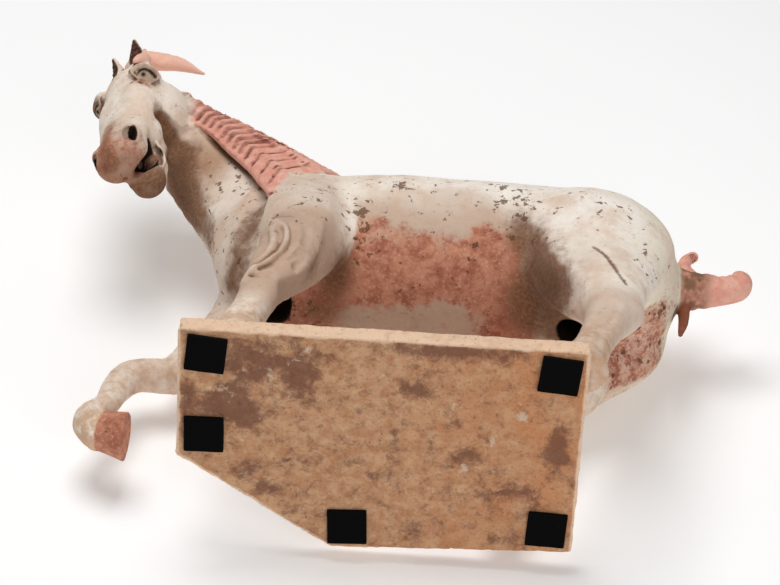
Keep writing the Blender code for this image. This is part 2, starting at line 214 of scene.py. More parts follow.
def curve_through(points, spans):
    """Catmull-Rom curve through the rows, each gap parted into this many spans."""
    rows = np.asarray(points, float)
    ends = np.vstack([2 * rows[0] - rows[1], rows, 2 * rows[-1] - rows[-2]])
    found = []
    for i, t in itertools.product(range(len(rows) - 1), np.arange(spans) / spans):
        a, b, c, d = ends[i : i + 4]
        square, cube = 2 * a - 5 * b + 4 * c - d, 3 * b - a - 3 * c + d
        found.append(0.5 * (2 * b + (c - a) * t + square * t**2 + cube * t**3))
    return np.array([*found, rows[-1]])


def stretch(a, b, ra, rb, sa, sb, axis):
    """Distance function of one span of a limb."""
    run = (b - a).astype(np.float32)
    start = a.astype(np.float32)
    length = float(run @ run)

    def distance(points):
        off = points - start
        along = np.clip(off @ run / length, 0.0, 1.0)
        off = off - along[..., None] * run
        share = sa + (sb - sa) * along
        side = off @ axis
        squared = np.einsum("...i,...i->...", off, off) + side * side * (1.0 / share**2 - 1.0)
        found = np.sqrt(np.maximum(squared, 0.0)) - (ra + (rb - ra) * along)
        return found * np.minimum(share, 1.0) ** 0.5

    return distance


def limb(stations, flat=(0.0, 1.0, 0.0), spans=3):
    """A rounded limb along a curve. Each station is x, y, z, radius and, if the limb
    is flattened along the flat axis, the share of the radius that is left there."""
    rows = np.array([tuple(row) + (1.0,) * (5 - len(row)) for row in stations])
    rows = curve_through(rows, spans) if len(rows) > 2 else rows
    middle = np.array([place(row[:3]) for row in rows])
    radii = rows[:, 3] * SCALE
    shares = rows[:, 4]
    axis = (np.asarray(flat, float) / np.linalg.norm(flat)).astype(np.float32)
    parts = []
    for i in range(len(rows) - 1):
        pair = middle[i : i + 2]
        spread = (radii[i : i + 2] * np.maximum(shares[i : i + 2], 1.0)).max()
        measure = stretch(*pair, *map(float, radii[i : i + 2]), *map(float, shares[i : i + 2]), axis)
        parts.append((pair.min(0) - spread, pair.max(0) + spread, measure))
    return Form(parts)


def thread(path, radius=0.5):
    """A thin form along layout points."""
    return limb([(*point, radius) for point in path])


def ball(centre, radii, axes=((1, 0, 0), (0, 1, 0), (0, 0, 1))):
    """An ellipsoid whose radii lie along the three axes."""
    middle = place(centre).astype(np.float32)
    sizes = (np.array(radii, float) * SCALE).astype(np.float32)
    rows = np.array(axes, float)
    rows = (rows / np.linalg.norm(rows, axis=1)[:, None]).astype(np.float32)

    def distance(points):
        local = (points - middle) @ rows.T
        once = np.linalg.norm(local / sizes, axis=-1)
        twice = np.linalg.norm(local / sizes**2, axis=-1)
        return once * (once - 1.0) / np.maximum(twice, 1e-6)

    reach = sizes.max()
    return Form([(middle - reach, middle + reach, distance)])


def behind(form, point, normal):
    """What is left of a form behind a plane."""
    origin = place(point).astype(np.float32)
    out = (np.array(normal, float) / np.linalg.norm(normal)).astype(np.float32)

    def trimmed(measure):
        return lambda points: np.maximum(measure(points), (points - origin) @ out)

    return Form([(low, high, trimmed(measure)) for low, high, measure in form.parts])


def ring(centre, u, v, radius):
    """A closed loop round a centre, through the ends of u and v."""
    centre, u, v = (np.array(row, float) for row in (centre, u, v))
    angles = np.linspace(0.0, 2.0 * math.pi, 17)
    return limb([(*(centre + u * math.cos(a) + v * math.sin(a)), radius) for a in angles], spans=1)


def groove(clay, path, depth, width, radius=0.5):
    clay.swell(thread(path, radius), -depth, width)


class Pose:
    """A place of its own on the figure: forward, left and down from a layout point,
    turned to the left and nodded down by degrees."""

    def __init__(self, origin, turn, nod):
        turn, nod = math.radians(turn), math.radians(nod)
        level = np.array((-math.cos(turn), -math.sin(turn), 0.0))
        self.origin = np.array(origin, float)
        self.forward = level * math.cos(nod) - np.array((0.0, 0.0, math.sin(nod)))
        self.left = np.array((math.sin(turn), -math.cos(turn), 0.0))
        self.down = -level * math.sin(nod) - np.array((0.0, 0.0, math.cos(nod)))
        self.axes = np.array((self.forward, self.left, self.down))

    def at(self, forward, left, down):
        return self.origin + forward * self.forward + left * self.left + down * self.down

    def seen(self, layout):
        """Layout points as forward, left and down."""
        return (layout - self.origin) @ self.axes.T


HEAD = Pose((-250.0, -80.0, 443.0), 42.0, 9.0)


def head_ball(spot, radii):
    return ball(HEAD.at(*spot), radii, HEAD.axes)


def head_limb(*stations, flat=None):
    rows = [(*HEAD.at(*row[:3]), *row[3:]) for row in stations]
    return limb(rows, HEAD.forward if flat is None else flat)


def head_path(path, side=1):
    return [HEAD.at(forward, side * left, down) for forward, left, down in path]


def face_spot(side, forward, left, down):
    """A point of the left half of the face, or the same point of the right half, which is
    set a little further forward and higher in this hand-made head."""
    return (forward, left, down) if side > 0 else (forward + 2.0, -left, down - 3.0)


def face_limb(side, stations):
    return head_limb(*((*face_spot(side, *row[:3]), *row[3:]) for row in stations))


def face_path(side, path):
    return [HEAD.at(*face_spot(side, *spot)) for spot in path]


# Limbs in layout millimetres: x, y, z, radius, and the share of it that is left from side to side.
TRUNK = [
    (-84, 0, 279, 66, 0.90), (-56, 0, 291, 81, 0.86), (-10, 0, 297, 82, 0.92), (50, 0, 296, 81, 0.95),
    (110, 0, 296, 80, 0.95), (150, 0, 288, 82, 0.95), (174, 0, 279, 79, 0.98),
]
NECK = [
    (-80, 0, 310, 74, 0.76), (-112, -2, 354, 63, 0.70), (-148, -13, 399, 56, 0.62),
    (-182, -31, 427, 48, 0.54), (-206, -47, 441, 37, 0.58),
]
LEFT_FORE_LEG = [
    (-76, -46, 290, 47, 0.68), (-75, -57, 238, 39, 0.88), (-79, -64, 190, 32, 0.92),
    (-89, -70, 150, 25, 0.92), (-101, -72, 112, 18, 0.92), (-109, -73, 76, 15.5, 0.95),
    (-114, -74, 52, 17), (-117, -74, 40, 16.5),
]
RIGHT_FORE_LEG = [
    (-96, 44, 290, 50, 0.64), (-124, 50, 244, 37, 0.8), (-151, 53, 207, 27, 0.9), (-178, 54, 175, 17, 0.95),
    (-203, 53, 171, 14.5), (-216, 52, 162, 14.5), (-224, 51, 140, 12.5), (-229, 50, 114, 10.5),
    (-238, 50, 97, 13), (-239, 50, 84, 14), (-232, 50, 76, 14.5),
]

# Broad hollows of the right side, with radii.
BREAST_HOLLOW = [(-114, 60, 306, 3), (-126, 58, 268, 6), (-130, 54, 226, 6), (-128, 46, 190, 4)]
ELBOW_HOLLOW = [(-37, 80, 290, 1), (-34, 78, 245, 2), (-39, 74, 205, 3), (-56, 62, 172, 2)]
STIFLE_HOLLOW = [(92, 80, 292, 1), (92, 80, 250, 2), (100, 76, 205, 4), (134, 62, 160, 3)]

# The upright holes: a long one behind the forelegs and a smaller one between the thighs.
VENTS = ((-99.0, -1.0, 17.0), (-100.0, 6.0, 17.0), (157.0, 2.0, 11.5))
VENT_FOOT = 150.0
VENT_TOP = 236.0


def raised_hoof():
    return behind(limb([(-232, 50, 76, 15.5), (-205, 50, 69, 21)]), (-207, 50, 70), (1, 0, -0.1))


def hind_leg(side, step):
    """side is -1 on the left and 1 on the right; step is how far forward this hoof stands."""
    out = abs(HIND_HOOVES[0 if side < 0 else 1][1])
    rows = [
        (172, 40, 272, 60, 0.8), (174 - 0.4 * step, 47, 215, 52, 0.66),
        (181 - 0.85 * step, 56, 165, 33, 0.82), (184 - 0.95 * step, 62, 126, 23, 0.9),
        (176 - step, out - 5, 90, 17, 0.95), (167 - step, out - 2, 58, 15),
        (163 - step, out, 42, 16), (160 - step, out, 34, 16),
    ]
    return limb([(x, side * y, *more) for x, y, *more in rows])


def vent_forms():
    return [limb([(x, y, VENT_FOOT, radius), (x, y, VENT_TOP, radius)]) for x, y, radius in VENTS]


def lay_body(clay):
    clay.add(limb(TRUNK))
    clay.add(limb(NECK), 0.02)
    for side, step in ((-1, 0.0), (1, HIND_STEP)):
        clay.add(hind_leg(side, step), 0.016)
        clay.add(ball((198 - 0.95 * step, side * 63, 126), (10, 9, 16)), 0.010)
        clay.add(ball((147 - 0.6 * step, side * 57, 206), (32, 18, 34)), 0.012)
        clay.add(ball((178, side * 44, 260), (64, 36, 70)), 0.012)
    clay.add(limb(LEFT_FORE_LEG), 0.014)
    clay.add(ball((-100, -72, 152), (13, 15, 17)), 0.008)
    clay.add(limb(RIGHT_FORE_LEG), 0.014)
    clay.add(raised_hoof(), 0.002)


def sink_hollow(clay, side, stations, depth, width):
    clay.swell(limb([(x, side * y, z, radius) for x, y, z, radius in stations]), -depth, width)


def lay_muscles(clay):
    """The broad hollows that part breast, elbow and thigh from their neighbours."""
    sink_hollow(clay, -1, BREAST_HOLLOW, 0.010, 0.020)
    for side in SIDES:
        sink_hollow(clay, side, ELBOW_HOLLOW, 0.005, 0.021)
        sink_hollow(clay, side, STIFLE_HOLLOW, 0.007, 0.021)


# Carved lines on the left flank and legs, in layout millimetres.
SHOULDER_FOLDS = [
    [(-107, -72, 278), (-94, -81, 271), (-83, -86, 265), (-71, -88, 260)],
    [(-101, -82, 216), (-94, -87, 211), (-88, -91, 207), (-79, -93, 203)],
    [(-84, -94, 186), (-81, -94, 166), (-83, -92, 150), (-89, -91, 135), (-97, -89, 124), (-106, -87, 119)],
    [(-93, -92, 180), (-91, -94, 161), (-93, -93, 145), (-98, -92, 135), (-105, -90, 128), (-111, -86, 126)],
    [(-104, -84, 183), (-103, -89, 156), (-106, -88, 145), (-110, -85, 139)],
    [(-77, -83, 131), (-72, -85, 144), (-68, -87, 152)],
    [(-83, -89, 138), (-77, -88, 144), (-73, -89, 152)],
    [(-71, -90, 161), (-69, -92, 173), (-71, -93, 184)],
    [(-112, -84, 112), (-103, -88, 109), (-95, -88, 111)],
]
SHOULDER_RIDGES = [
    [(-98, -87, 200), (-88, -94, 180), (-86, -95, 165), (-88, -93, 150),
     (-94, -92, 136), (-101, -90, 126), (-110, -86, 120)],
    [(-99, -87, 188), (-96, -92, 160), (-98, -92, 143), (-103, -90, 133), (-110, -86, 130)],
    [(-110, -86, 120), (-114, -84, 114), (-116, -82, 104)],
]
ELBOW_FOLD = [
    (-86, -72, 108), (-73, -66, 131), (-62, -66, 148), (-53, -69, 165), (-45, -78, 187), (-45, -88, 205),
]
THIGH_SINEWS = [
    [(176, -83, 113), (170, -84, 89), (163, -86, 60)],
    [(181, -84, 110), (174, -86, 81), (167, -88, 50)],
    [(186, -83, 106), (179, -84, 77), (171, -87, 48)],
]
FLANK_FOLD = [(109, -70, 262), (113, -66, 238), (120, -64, 200), (134, -60, 176), (150, -60, 150)]
FLAKED_CRACK = [(169, -82, 201), (178, -83, 187), (188, -82, 160), (195, -80, 144)]


def mirrored(path):
    return [(x, -y, z) for x, y, z in path]


def carve_flanks(clay):
    groove(clay, ELBOW_FOLD, 0.0045, 0.013, radius=1)
    for line in SHOULDER_RIDGES:
        clay.swell(thread(line), 0.0040, 0.0058)
    for fold in SHOULDER_FOLDS:
        groove(clay, fold, 0.0040, 0.0044)
    for side in SIDES:
        for sinew in THIGH_SINEWS:
            path = sinew if side < 0 else [(x - HIND_STEP, -y - 3, z) for x, y, z in sinew]
            groove(clay, path, 0.0040, 0.0050)
        groove(clay, FLANK_FOLD if side < 0 else mirrored(FLANK_FOLD), 0.0060, 0.019, radius=2)
    for fold in SHOULDER_FOLDS[:2]:
        groove(clay, mirrored(fold), 0.0012, 0.0040)
    groove(clay, FLAKED_CRACK, 0.0012, 0.0018)


def lay_hooves(clay):
    for x, y, radius in (FORE_HOOF,) + HIND_HOOVES:
        toe = limb([(x + 2, y, 36, radius - 6), (x, y, LAYOUT_GROUND - 3, radius)])
        clay.add(behind(toe, (x, y, LAYOUT_GROUND - 6), (0, 0, -1)), 0.002)
        clay.swell(ring((x + 2, y, 37), (radius - 5, 0, -1), (0, radius - 5, 0), 1.0), 0.0014, 0.004)
        clay.swell(ring((x + 2, y, 43), (radius - 5, 0, 0), (0, radius - 5, 0), 0.5), -0.0012, 0.003)
    clay.swell(ring((-231, 50, 77), (4, 0, 16), (0, 16, 0), 1.0), 0.0014, 0.004)
    clay.cut(ball((-203, 50, 69), (7, 14, 15)), 0.003)


def lay_head(clay):
    clay.add(head_ball((-18, 0, -3), (28, 25, 30)), 0.012)
    clay.add(head_limb((-9, -2, 0, 28, 0.74), (-4, -3, 48, 28, 0.68), (1, -3, 98, 24, 0.75)), 0.010)
    clay.add(head_ball((-28, 0, 28), (26, 22, 40)), 0.010)
    for side in SIDES:
        clay.add(head_ball((-36, side * 16, 13), (30, 15, 33)), 0.006)
        clay.add(head_ball((-5, side * 17, 36), (18, 11, 26)), 0.008)
    clay.add(head_ball((3, -3, 109), (19, 24, 22)), 0.010)
    clay.add(head_ball((6, -4, 118), (14, 19, 10)), 0.008)
    jaw = head_limb((-39, 0, 44, 12, 1.1), (-33, 0, 82, 8, 1.45), (-29, 0, 110, 9, 1.45), flat=HEAD.left)
    clay.add(jaw, 0.008)
    clay.add(head_ball((-27, 0, 122), (14, 16, 12)), 0.008)
    clay.add(head_ball((-25, 0, 62), (18, 18, 27)), 0.008)
    for side in SIDES:
        clay.add(head_ball(face_spot(side, -2, 24.5, 3), (12, 9, 11)), 0.004)
        brow = [(10, 19, 2, 3.2), (4, 26, -4, 3.8), (-8, 29, -4, 3.8), (-18, 27, 3, 2.5)]
        clay.add(face_limb(side, brow), 0.005)
        clay.add(head_ball((12, side * 18, 105), (8, 9, 9)), 0.006)
        shell = head_limb((-8, side * 12, -22, 11), (-3.5, side * 13, -43, 8), (1.5, side * 14, -68, 2.0))
        clay.add(shell, 0.004)
        clay.cut(ear_hollow(side), 0.0006)


def ear_hollow(side):
    """The front opening of a small pricked ear, which leaves a thin rim."""
    return head_limb((3.5, side * 15, -32, 5.4), (3.5, side * 15.6, -45, 6.6), (5, side * 15.4, -63, 2.9))


EYE = (0.2, 27.6, 8.2)
UPPER_LID = [(13, 20, 5), (10, 26, 3.5), (6, 32.5, 4.5), (1, 35, 6.5), (-5, 35, 6), (-10, 33.5, 6)]
LOWER_LID = [(13, 20, 5), (8, 23, 12.5), (3, 26.5, 15), (-3, 28, 15.5), (-6.7, 31, 12.6), (-10, 33.5, 6)]
EYE_FOLDS = [
    [(15, 19, 5), (12, 18, 13), (9, 18, 18)], [(17, 18, 2), (15, 17, 11)], [(4, 24, 19), (3, 23, 26)],
]
LID_CREASE = (1.5, 0.5, -3.6)
LID_EDGE = (-0.5, -0.6, 3.4)


def eyeball(side):
    return head_ball(face_spot(side, *EYE), (8.0, 7.4, 7.4))


def lid_line(side, shift):
    """The upper eyelid's line, shifted forward, left and down."""
    return face_path(side, [np.add(spot, shift) for spot in UPPER_LID[1:]])


def carve_eye(clay, side):
    """A socket and a bulging eyeball between a heavy upper lid and a thinner lower one."""
    clay.cut(head_ball(face_spot(side, 1.6, 30.0, 8.4), (9.2, 7.5, 6.4)), 0.001)
    clay.add(eyeball(side), 0.0003)
    clay.add(face_limb(side, [(*spot, 2.3) for spot in UPPER_LID]), 0.0012)
    clay.add(face_limb(side, [(*spot, 1.3) for spot in LOWER_LID]), 0.0010)
    groove(clay, lid_line(side, LID_CREASE), 0.0012, 0.0022)
    for fold in EYE_FOLDS:
        groove(clay, face_path(side, fold), 0.0009, 0.0024)


# The nostril's own axes: across it, out of the muzzle, and down its long side. Its narrow
# deep core and the shallow wing in front of it are each a spot along them and the radii.
NOSTRIL = (15.0, 21.0, 109.5)
NOSTRIL_AXES = ((0.87, -0.45, 0.16), (0.42, 0.88, 0.21), (-0.24, -0.12, 0.96))
NOSTRIL_CORE = ((-3.0, -2.0, 0.0), (2.9, 10.0, 7.2))
NOSTRIL_WING = ((2.0, 1.0, 1.0), (6.8, 4.0, 6.6))


def nostril_axes(side):
    flip = np.array((1.0, side, 1.0))
    return np.array(NOSTRIL) * flip, np.array(NOSTRIL_AXES) * flip


def nostril_form(side, shift, radii):
    centre, rows = nostril_axes(side)
    spot = centre + shift[0] * rows[0] + shift[1] * rows[1] + shift[2] * rows[2]
    return ball(HEAD.at(*spot), radii, rows @ HEAD.axes)


def carve_nostril(clay, side):
    centre, rows = nostril_axes(side)
    turns = np.linspace(0.0, 2.0 * math.pi, 17)
    rim = head_path([centre + 8.8 * math.cos(a) * rows[0] + 9.2 * math.sin(a) * rows[2] for a in turns])
    clay.swell(thread(rim, 0.8), 0.0010, 0.0040)
    clay.cut(nostril_form(side, *NOSTRIL_WING), 0.0016)
    clay.cut(nostril_form(side, *NOSTRIL_CORE), 0.0010)


LIP_RIM = [
    (-22, 15, 80), (-27, 17, 92), (-30, 17, 104), (-30, 13, 114), (-27, 5, 117), (-22, 0, 117),
    (-19, -4, 120), (-16, -7, 124), (-11, -7, 124),
]
LIP_FOLDS = ([(10, -14, 120), (11, -5, 127), (8, 6, 128)], [(6, -10, 127), (7, -1, 132), (4, 9, 130)])
LIP_SEAM = [(-20, -18, 100), (-13, -15, 112), (-8, -12, 121), (-5, -7, 127)]


def mouth():
    """The hollow under the palate, open on the left and closed by the right cheek."""
    return head_ball((-17, 12, 101), (10, 22, 16.5))


def lip_gap():
    """The gap between the lips in front."""
    return head_limb((-15, 10, 108, 6, 2.1), (-11, 11, 122, 5, 2.4), (-9, 11, 136, 5, 2.4), flat=HEAD.left)


def tongue():
    return head_limb((-34, 3, 80, 4, 1.5), (-29, 4, 90, 4.4, 1.6), (-24.5, 5, 99, 3.4, 1.6), flat=HEAD.left)


def carve_mouth(clay):
    """Opens the mouth between the lips, with the tongue in it and a rim round the lower lip."""
    clay.cut(mouth(), 0.0012)
    clay.cut(lip_gap(), 0.0015)
    clay.cut(head_ball((-15, 6, 112), (9, 13.5, 12)), 0.0015)
    clay.add(head_ball((-18, -5, 123), (7, 9, 6.5)), 0.003)
    clay.add(head_ball((-23, -14, 94), (10, 6, 18)), 0.003)
    clay.add(head_limb((-17, -14, 110, 4), (-10, -9, 120, 4.5), (-6, -3, 126, 3.5)), 0.003)
    groove(clay, head_path(LIP_SEAM), 0.0022, 0.0036)
    clay.add(tongue(), 0.0008)
    clay.add(head_limb(*((*spot, 1.7) for spot in LIP_RIM)), 0.0018)
    for fold in LIP_FOLDS:
        groove(clay, head_path(fold), 0.0013, 0.0030)


JOWL_EDGE = [
    (-62, 26, 11), (-60.5, 25, 31), (-52.5, 22, 42), (-45, 20, 44), (-36, 19, 42), (-28, 19, 40),
    (-21, 18, 34),
]
JOWL_RECESS = [(-24, 18, 48), (-34, 18, 54), (-46, 17, 56), (-56, 16, 54)]


def carve_face(clay):
    for side in SIDES:
        clay.swell(thread(head_path(JOWL_RECESS, side), 3), -0.0085, 0.017)
    for side in SIDES:
        clay.add(head_ball((-37, side * 16.5, 11), (29, 15.5, 32)), 0.0012)
        clay.add(head_ball((-44, side * 17, 22), (20, 11.5, 22)), 0.0012)
    for side in SIDES:
        clay.add(head_ball((-22, side * 15, 20), (15, 12, 20)), 0.008)
        clay.add(head_ball((-16, side * 14, 64), (12, 9, 17)), 0.006)
        groove(clay, head_path(JOWL_EDGE, side), 0.0026, 0.0060)
        carve_eye(clay, side)
        carve_nostril(clay, side)
    carve_mouth(clay)


# The horn, the tuft and the root of the forelock, each station with its radius.
FORELOCK = [
    [(-6, 4, -38, 8), (-17, 9, -59, 8.5), (-29, 17, -60, 8.4), (-46, 28, -60, 6.4), (-64, 37, -54, 1.9)],
    [(-15, 8, -58, 5.5), (-15, 10, -73, 2.2)],
    [(5, 20, -21, 3.6), (0, 19.5, -30, 5.2), (-9, 15, -44, 7)],
]


def forelock():
    """The bound forelock, swept back past the left ear like a horn, with a tuft over its root."""
    return Form([part for rows in FORELOCK for part in head_limb(*rows).parts])


def lay_forelock(clay):
    clay.add(forelock(), 0.003)
    groove(clay, head_path([(-22, 20, -50), (-26, 23, -56), (-31, 24, -60), (-35, 26, -66)]), 0.0014, 0.0030)
    for lift in (-4, 1):
        strand = [(-34, 26, -63 + lift), (-50, 34, -61 + lift * 0.6), (-62, 39, -55)]
        groove(clay, head_path(strand), 0.0008, 0.0024)


TAIL_STUB = [(240, 0, 280, 20), (266, 0, 281, 17), (290, 0, 284, 13), (303, 0, 291, 13), (306, 0, 297, 12)]
TAIL_CURL = [(262, 0, 296, 11), (259, 0, 316, 7), (261, 0, 332, 5.5), (268, 0, 341, 5)]
TAIL_RIBBON = [(257, 9, 264, 5.6), (256, 11, 245, 4.6), (252, 10, 221, 2.2)]


def tail_forms():
    return limb(TAIL_STUB), limb(TAIL_CURL, spans=4), limb(TAIL_RIBBON)


def lay_tail(clay):
    for form, blend in zip(tail_forms(), (0.008, 0.003, 0.003)):
        clay.add(form, blend)
    clay.swell(ring((271, 0, 281), (0, 17, 0), (0, 0, 17), 0.5), -0.0016, 0.0034)
    for x, z in ((288, 280), (295, 281), (302, 284)):
        fold = [(x + 4, -13, z), (x, -14, z + 7), (x - 3, -11, z + 15), (x - 4, -2, z + 20)]
        groove(clay, fold, 0.0022, 0.0034)
    for x in (262, 267):
        groove(clay, [(x, -16, 287), (x - 4, -12, 297), (x - 5, -8, 308)], 0.0012, 0.0026)
    clay.cut(ball((268, -3, 336), (3.4, 4.5, 4.0)), 0.001)


# The mane's locks leave the crest level, bend over and hang down to their tips.
MANE_LOCKS = 15
MANE_LINES = [
    [(-197, -67, 465), (-171, -58, 449), (-146, -51, 443),
     (-114, -49, 417), (-86, -43, 399), (-54, -38, 374)],
    [(-198, -70, 457), (-173, -65, 440), (-150, -62, 425),
     (-128, -61, 401), (-104, -57, 384), (-72, -62, 343)],
    [(-200, -70, 451), (-178, -67, 432), (-160, -65, 417),
     (-144, -62, 395), (-125, -60, 373), (-97, -69, 316)],
    [(-202, -68, 444), (-183, -63, 424), (-166, -62, 407),
     (-149, -59, 384), (-130, -58, 357), (-105, -72, 284)],
]
MANE_PAD = [
    (-206, -50, 468, 10), (-174, -42, 448, 14), (-150, -34, 440, 17),
    (-114, -26, 410, 20), (-84, -22, 384, 20), (-58, -18, 361, 18),
]
LOCK_RADIUS = 5.6
LOCK_SHARES = (0.9, 0.95, 1.0, 0.98, 0.8)


def mane_lock(share):
    """Five layout points of one lock, from its place on the crest to its tip."""
    found = []
    for line in MANE_LINES:
        curve = curve_through(line, 20)
        at = share * (len(curve) - 1)
        low = min(int(at), len(curve) - 2)
        found.append(curve[low] + (at - low) * (curve[low + 1] - curve[low]))
    return [found[0] + np.array((6.0, 14.0, 6.0))] + found


def mane_shares():
    return (np.arange(MANE_LOCKS) / (MANE_LOCKS - 1.0)) ** 0.92


def mane_sheets():
    """The body of the mane under its locks."""
    sheets = [limb(MANE_PAD)]
    for line, radius in zip(MANE_LINES[1:], (6.5, 5.4, 2.8)):
        sheets.append(limb([(x, y + 2.5, z, radius + 0.4 * i) for i, (x, y, z) in enumerate(line)]))
    return sheets


def mane_locks():
    found = []
    for share in mane_shares():
        radii = np.array(LOCK_SHARES) * (LOCK_RADIUS + 2.2 * share)
        rows = [(*point, radius, 0.62) for point, radius in zip(mane_lock(share), radii)]
        found.append(limb(rows, spans=4))
    return found


def mane_furrows():
    """The lines between neighbouring locks."""
    shares = mane_shares()
    middles = (shares[1:] + shares[:-1]) / 2
    return [thread([(x, y - 3.0, z) for x, y, z in mane_lock(share)[1:]], 0.6) for share in middles]


def lay_mane(clay):
    for sheet in mane_sheets():
        clay.add(sheet, 0.006)
    for lock in mane_locks():
        clay.add(lock, 0.0018)
    for furrow in mane_furrows():
        clay.swell(furrow, -0.0012, 0.0036)
    step = 0.5 / (MANE_LOCKS - 1.0)
    for share, (shift, depth) in itertools.product(mane_shares(), ((-0.35, 0.0013), (0.3, 0.0017))):
        strand = mane_lock(min(max(share + shift * step, 0.0), 1.0))
        groove(clay, [point + np.array((0.0, -3.6, 0.0)) for point in strand[1:]], depth, 0.0021)


def slab_form():
    """The slab as a prism whose edges are worn round."""
    front, rear, left, right, rear_right = slab_sides()
    after_cut, before_cut = front + CORNER_CUT_LENGTH, right - CORNER_CUT_WIDTH
    corners = [(front, left), (rear, left), (rear, rear_right), (after_cut, right), (front, before_cut)]
    corners = (np.array(corners) + ORIGIN[:2]).astype(np.float32)
    bottom, top = float(ORIGIN[2]), float(ORIGIN[2] + SLAB_THICKNESS)

    def distance(points):
        found = np.maximum(bottom - points[..., 2], points[..., 2] - top)
        for a, b in zip(corners, np.roll(corners, -1, axis=0)):
            run = (b - a) / np.linalg.norm(b - a)
            side = (points[..., 0] - a[0]) * run[1] - (points[..., 1] - a[1]) * run[0]
            found = -smooth_least(-found, -side, 0.0012)
        return found

    return Form([((*corners.min(0), bottom), (*corners.max(0), top), distance)])


def sculpt(clay):
    lay_body(clay)
    lay_muscles(clay)
    carve_flanks(clay)
    lay_hooves(clay)
    lay_head(clay)
    lay_mane(clay)
    lay_forelock(clay)
    lay_tail(clay)
    carve_face(clay)
    for form in vent_forms():
        clay.cut(form, 0.001)
    clay.add(slab_form(), 0.003)


def graded(low, high, fine_low, fine_high):
    """Grid coordinates from low to high, fine between the last two and coarse elsewhere."""
    found = [low]
    while found[-1] < high:
        outside = max(fine_low - found[-1], found[-1] - fine_high, 0.0)
        found.append(found[-1] + min(COARSE, FINE + 0.1 * outside))
    spare = -len(found) % BLOCK
    found += [found[-1] + COARSE * (i + 1) for i in range(spare)]
    return np.array(found)


def surface_samples(node, spacing):
    """Points all over a CAD node's surface."""
    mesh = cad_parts[node].data
    mesh.calc_loop_triangles()
    corners = np.empty(len(mesh.vertices) * 3)
    mesh.vertices.foreach_get("co", corners)
    faces = np.empty(len(mesh.loop_triangles) * 3, np.int32)
    mesh.loop_triangles.foreach_get("vertices", faces)
    a, b, c = np.moveaxis(corners.reshape(-1, 3)[faces.reshape(-1, 3)], 1, 0)
    longest = np.max([np.linalg.norm(run, axis=1) for run in (b - a, c - b, a - c)], axis=0)
    found = []
    counts = np.maximum(1, np.ceil(longest / spacing).astype(int))
    for count in np.unique(counts):
        rows = counts == count
        for i in range(count + 1):
            for j in range(count + 1 - i):
                u, v = i / count, j / count
                found.append(a[rows] * (1 - u - v) + b[rows] * u + c[rows] * v)
    return np.concatenate(found)


def blocks_near_surface(axes, counts):
    """Indices of the grid's blocks that the clay's surface can pass through."""
    samples = surface_samples("horse", SURFACE_SPACING)
    wanted = np.zeros(counts, bool)
    for offset in itertools.product((-SURFACE_MARGIN, 0.0, SURFACE_MARGIN), repeat=3):
        index = []
        for i, axis in enumerate(axes):
            at = np.searchsorted(axis[::BLOCK], samples[:, i] + offset[i], side="right") - 1
            index.append(np.clip(at, 0, counts[i] - 1))
        wanted[tuple(index)] = True
    return np.argwhere(wanted)


def sculpted():
    """The grid's axes, the field on it, and where the field is known."""
    low = cad_low - Vector((GRID_MARGIN,) * 3)
    high = cad_high + Vector((GRID_MARGIN,) * 3)
    axes = [
        graded(low.x, high.x, low.x, HEAD_FROM_X),
        graded(low.y, high.y, 1.0, 1.0),
        graded(low.z, high.z, HEAD_FROM_Z, high.z),
    ]
    counts = [len(axis) // BLOCK for axis in axes]
    blocks = blocks_near_surface(axes, counts)
    clays = [Clay(axes, blocks[i::WORKERS]) for i in range(WORKERS)]
    with concurrent.futures.ThreadPoolExecutor(WORKERS) as pool:
        list(pool.map(sculpt, clays))
    field = np.full((*counts, BLOCK, BLOCK, BLOCK), FAR, np.float32)
    known = np.zeros(counts, bool)
    for clay in clays:
        index = tuple(clay.blocks.T)
        field[index] = clay.field.reshape(-1, BLOCK, BLOCK, BLOCK)
        known[index] = True
    field = field.transpose(0, 3, 1, 4, 2, 5).reshape([count * BLOCK for count in counts])
    for i in range(3):
        known = np.repeat(known, BLOCK, axis=i)
    return axes, field, known


def skin(axes, field, known):
    """Points and quads of the field's zero surface: one point in each cube that the surface crosses."""
    inside = field < 0
    cubes = tuple(n - 1 for n in field.shape)
    count = np.zeros(cubes, np.int8)
    sure = np.ones(cubes, bool)
    for corner in CUBE_CORNERS:
        part = tuple(slice(step, size + step) for step, size in zip(corner, cubes))
        count += inside[part]
        sure &= known[part]
    where = np.argwhere((count > 0) & (count < 8) & sure)
    ids = np.full(cubes, -1, np.int32)
    ids[tuple(where.T)] = np.arange(len(where))
    values = np.stack([field[tuple((where + corner).T)] for corner in CUBE_CORNERS], axis=1)
    total = np.zeros((len(where), 3))
    hits = np.zeros(len(where))
    for i, j in itertools.combinations(range(8), 2):
        step = np.subtract(CUBE_CORNERS[j], CUBE_CORNERS[i])
        if np.abs(step).sum() != 1:
            continue
        first, second = values[:, i], values[:, j]
        crossed = (first < 0) != (second < 0)
        share = np.where(crossed, first / np.where(crossed, first - second, 1.0), 0.0)
        total += np.where(crossed[:, None], CUBE_CORNERS[i] + share[:, None] * step, 0.0)
        hits += crossed
    local = settled(total / hits[:, None], values)
    points = np.empty((len(where), 3))
    for k, axis in enumerate(axes):
        near = axis[where[:, k]]
        points[:, k] = near + local[:, k] * (axis[where[:, k] + 1] - near)
    return points, quads_between(inside, ids)


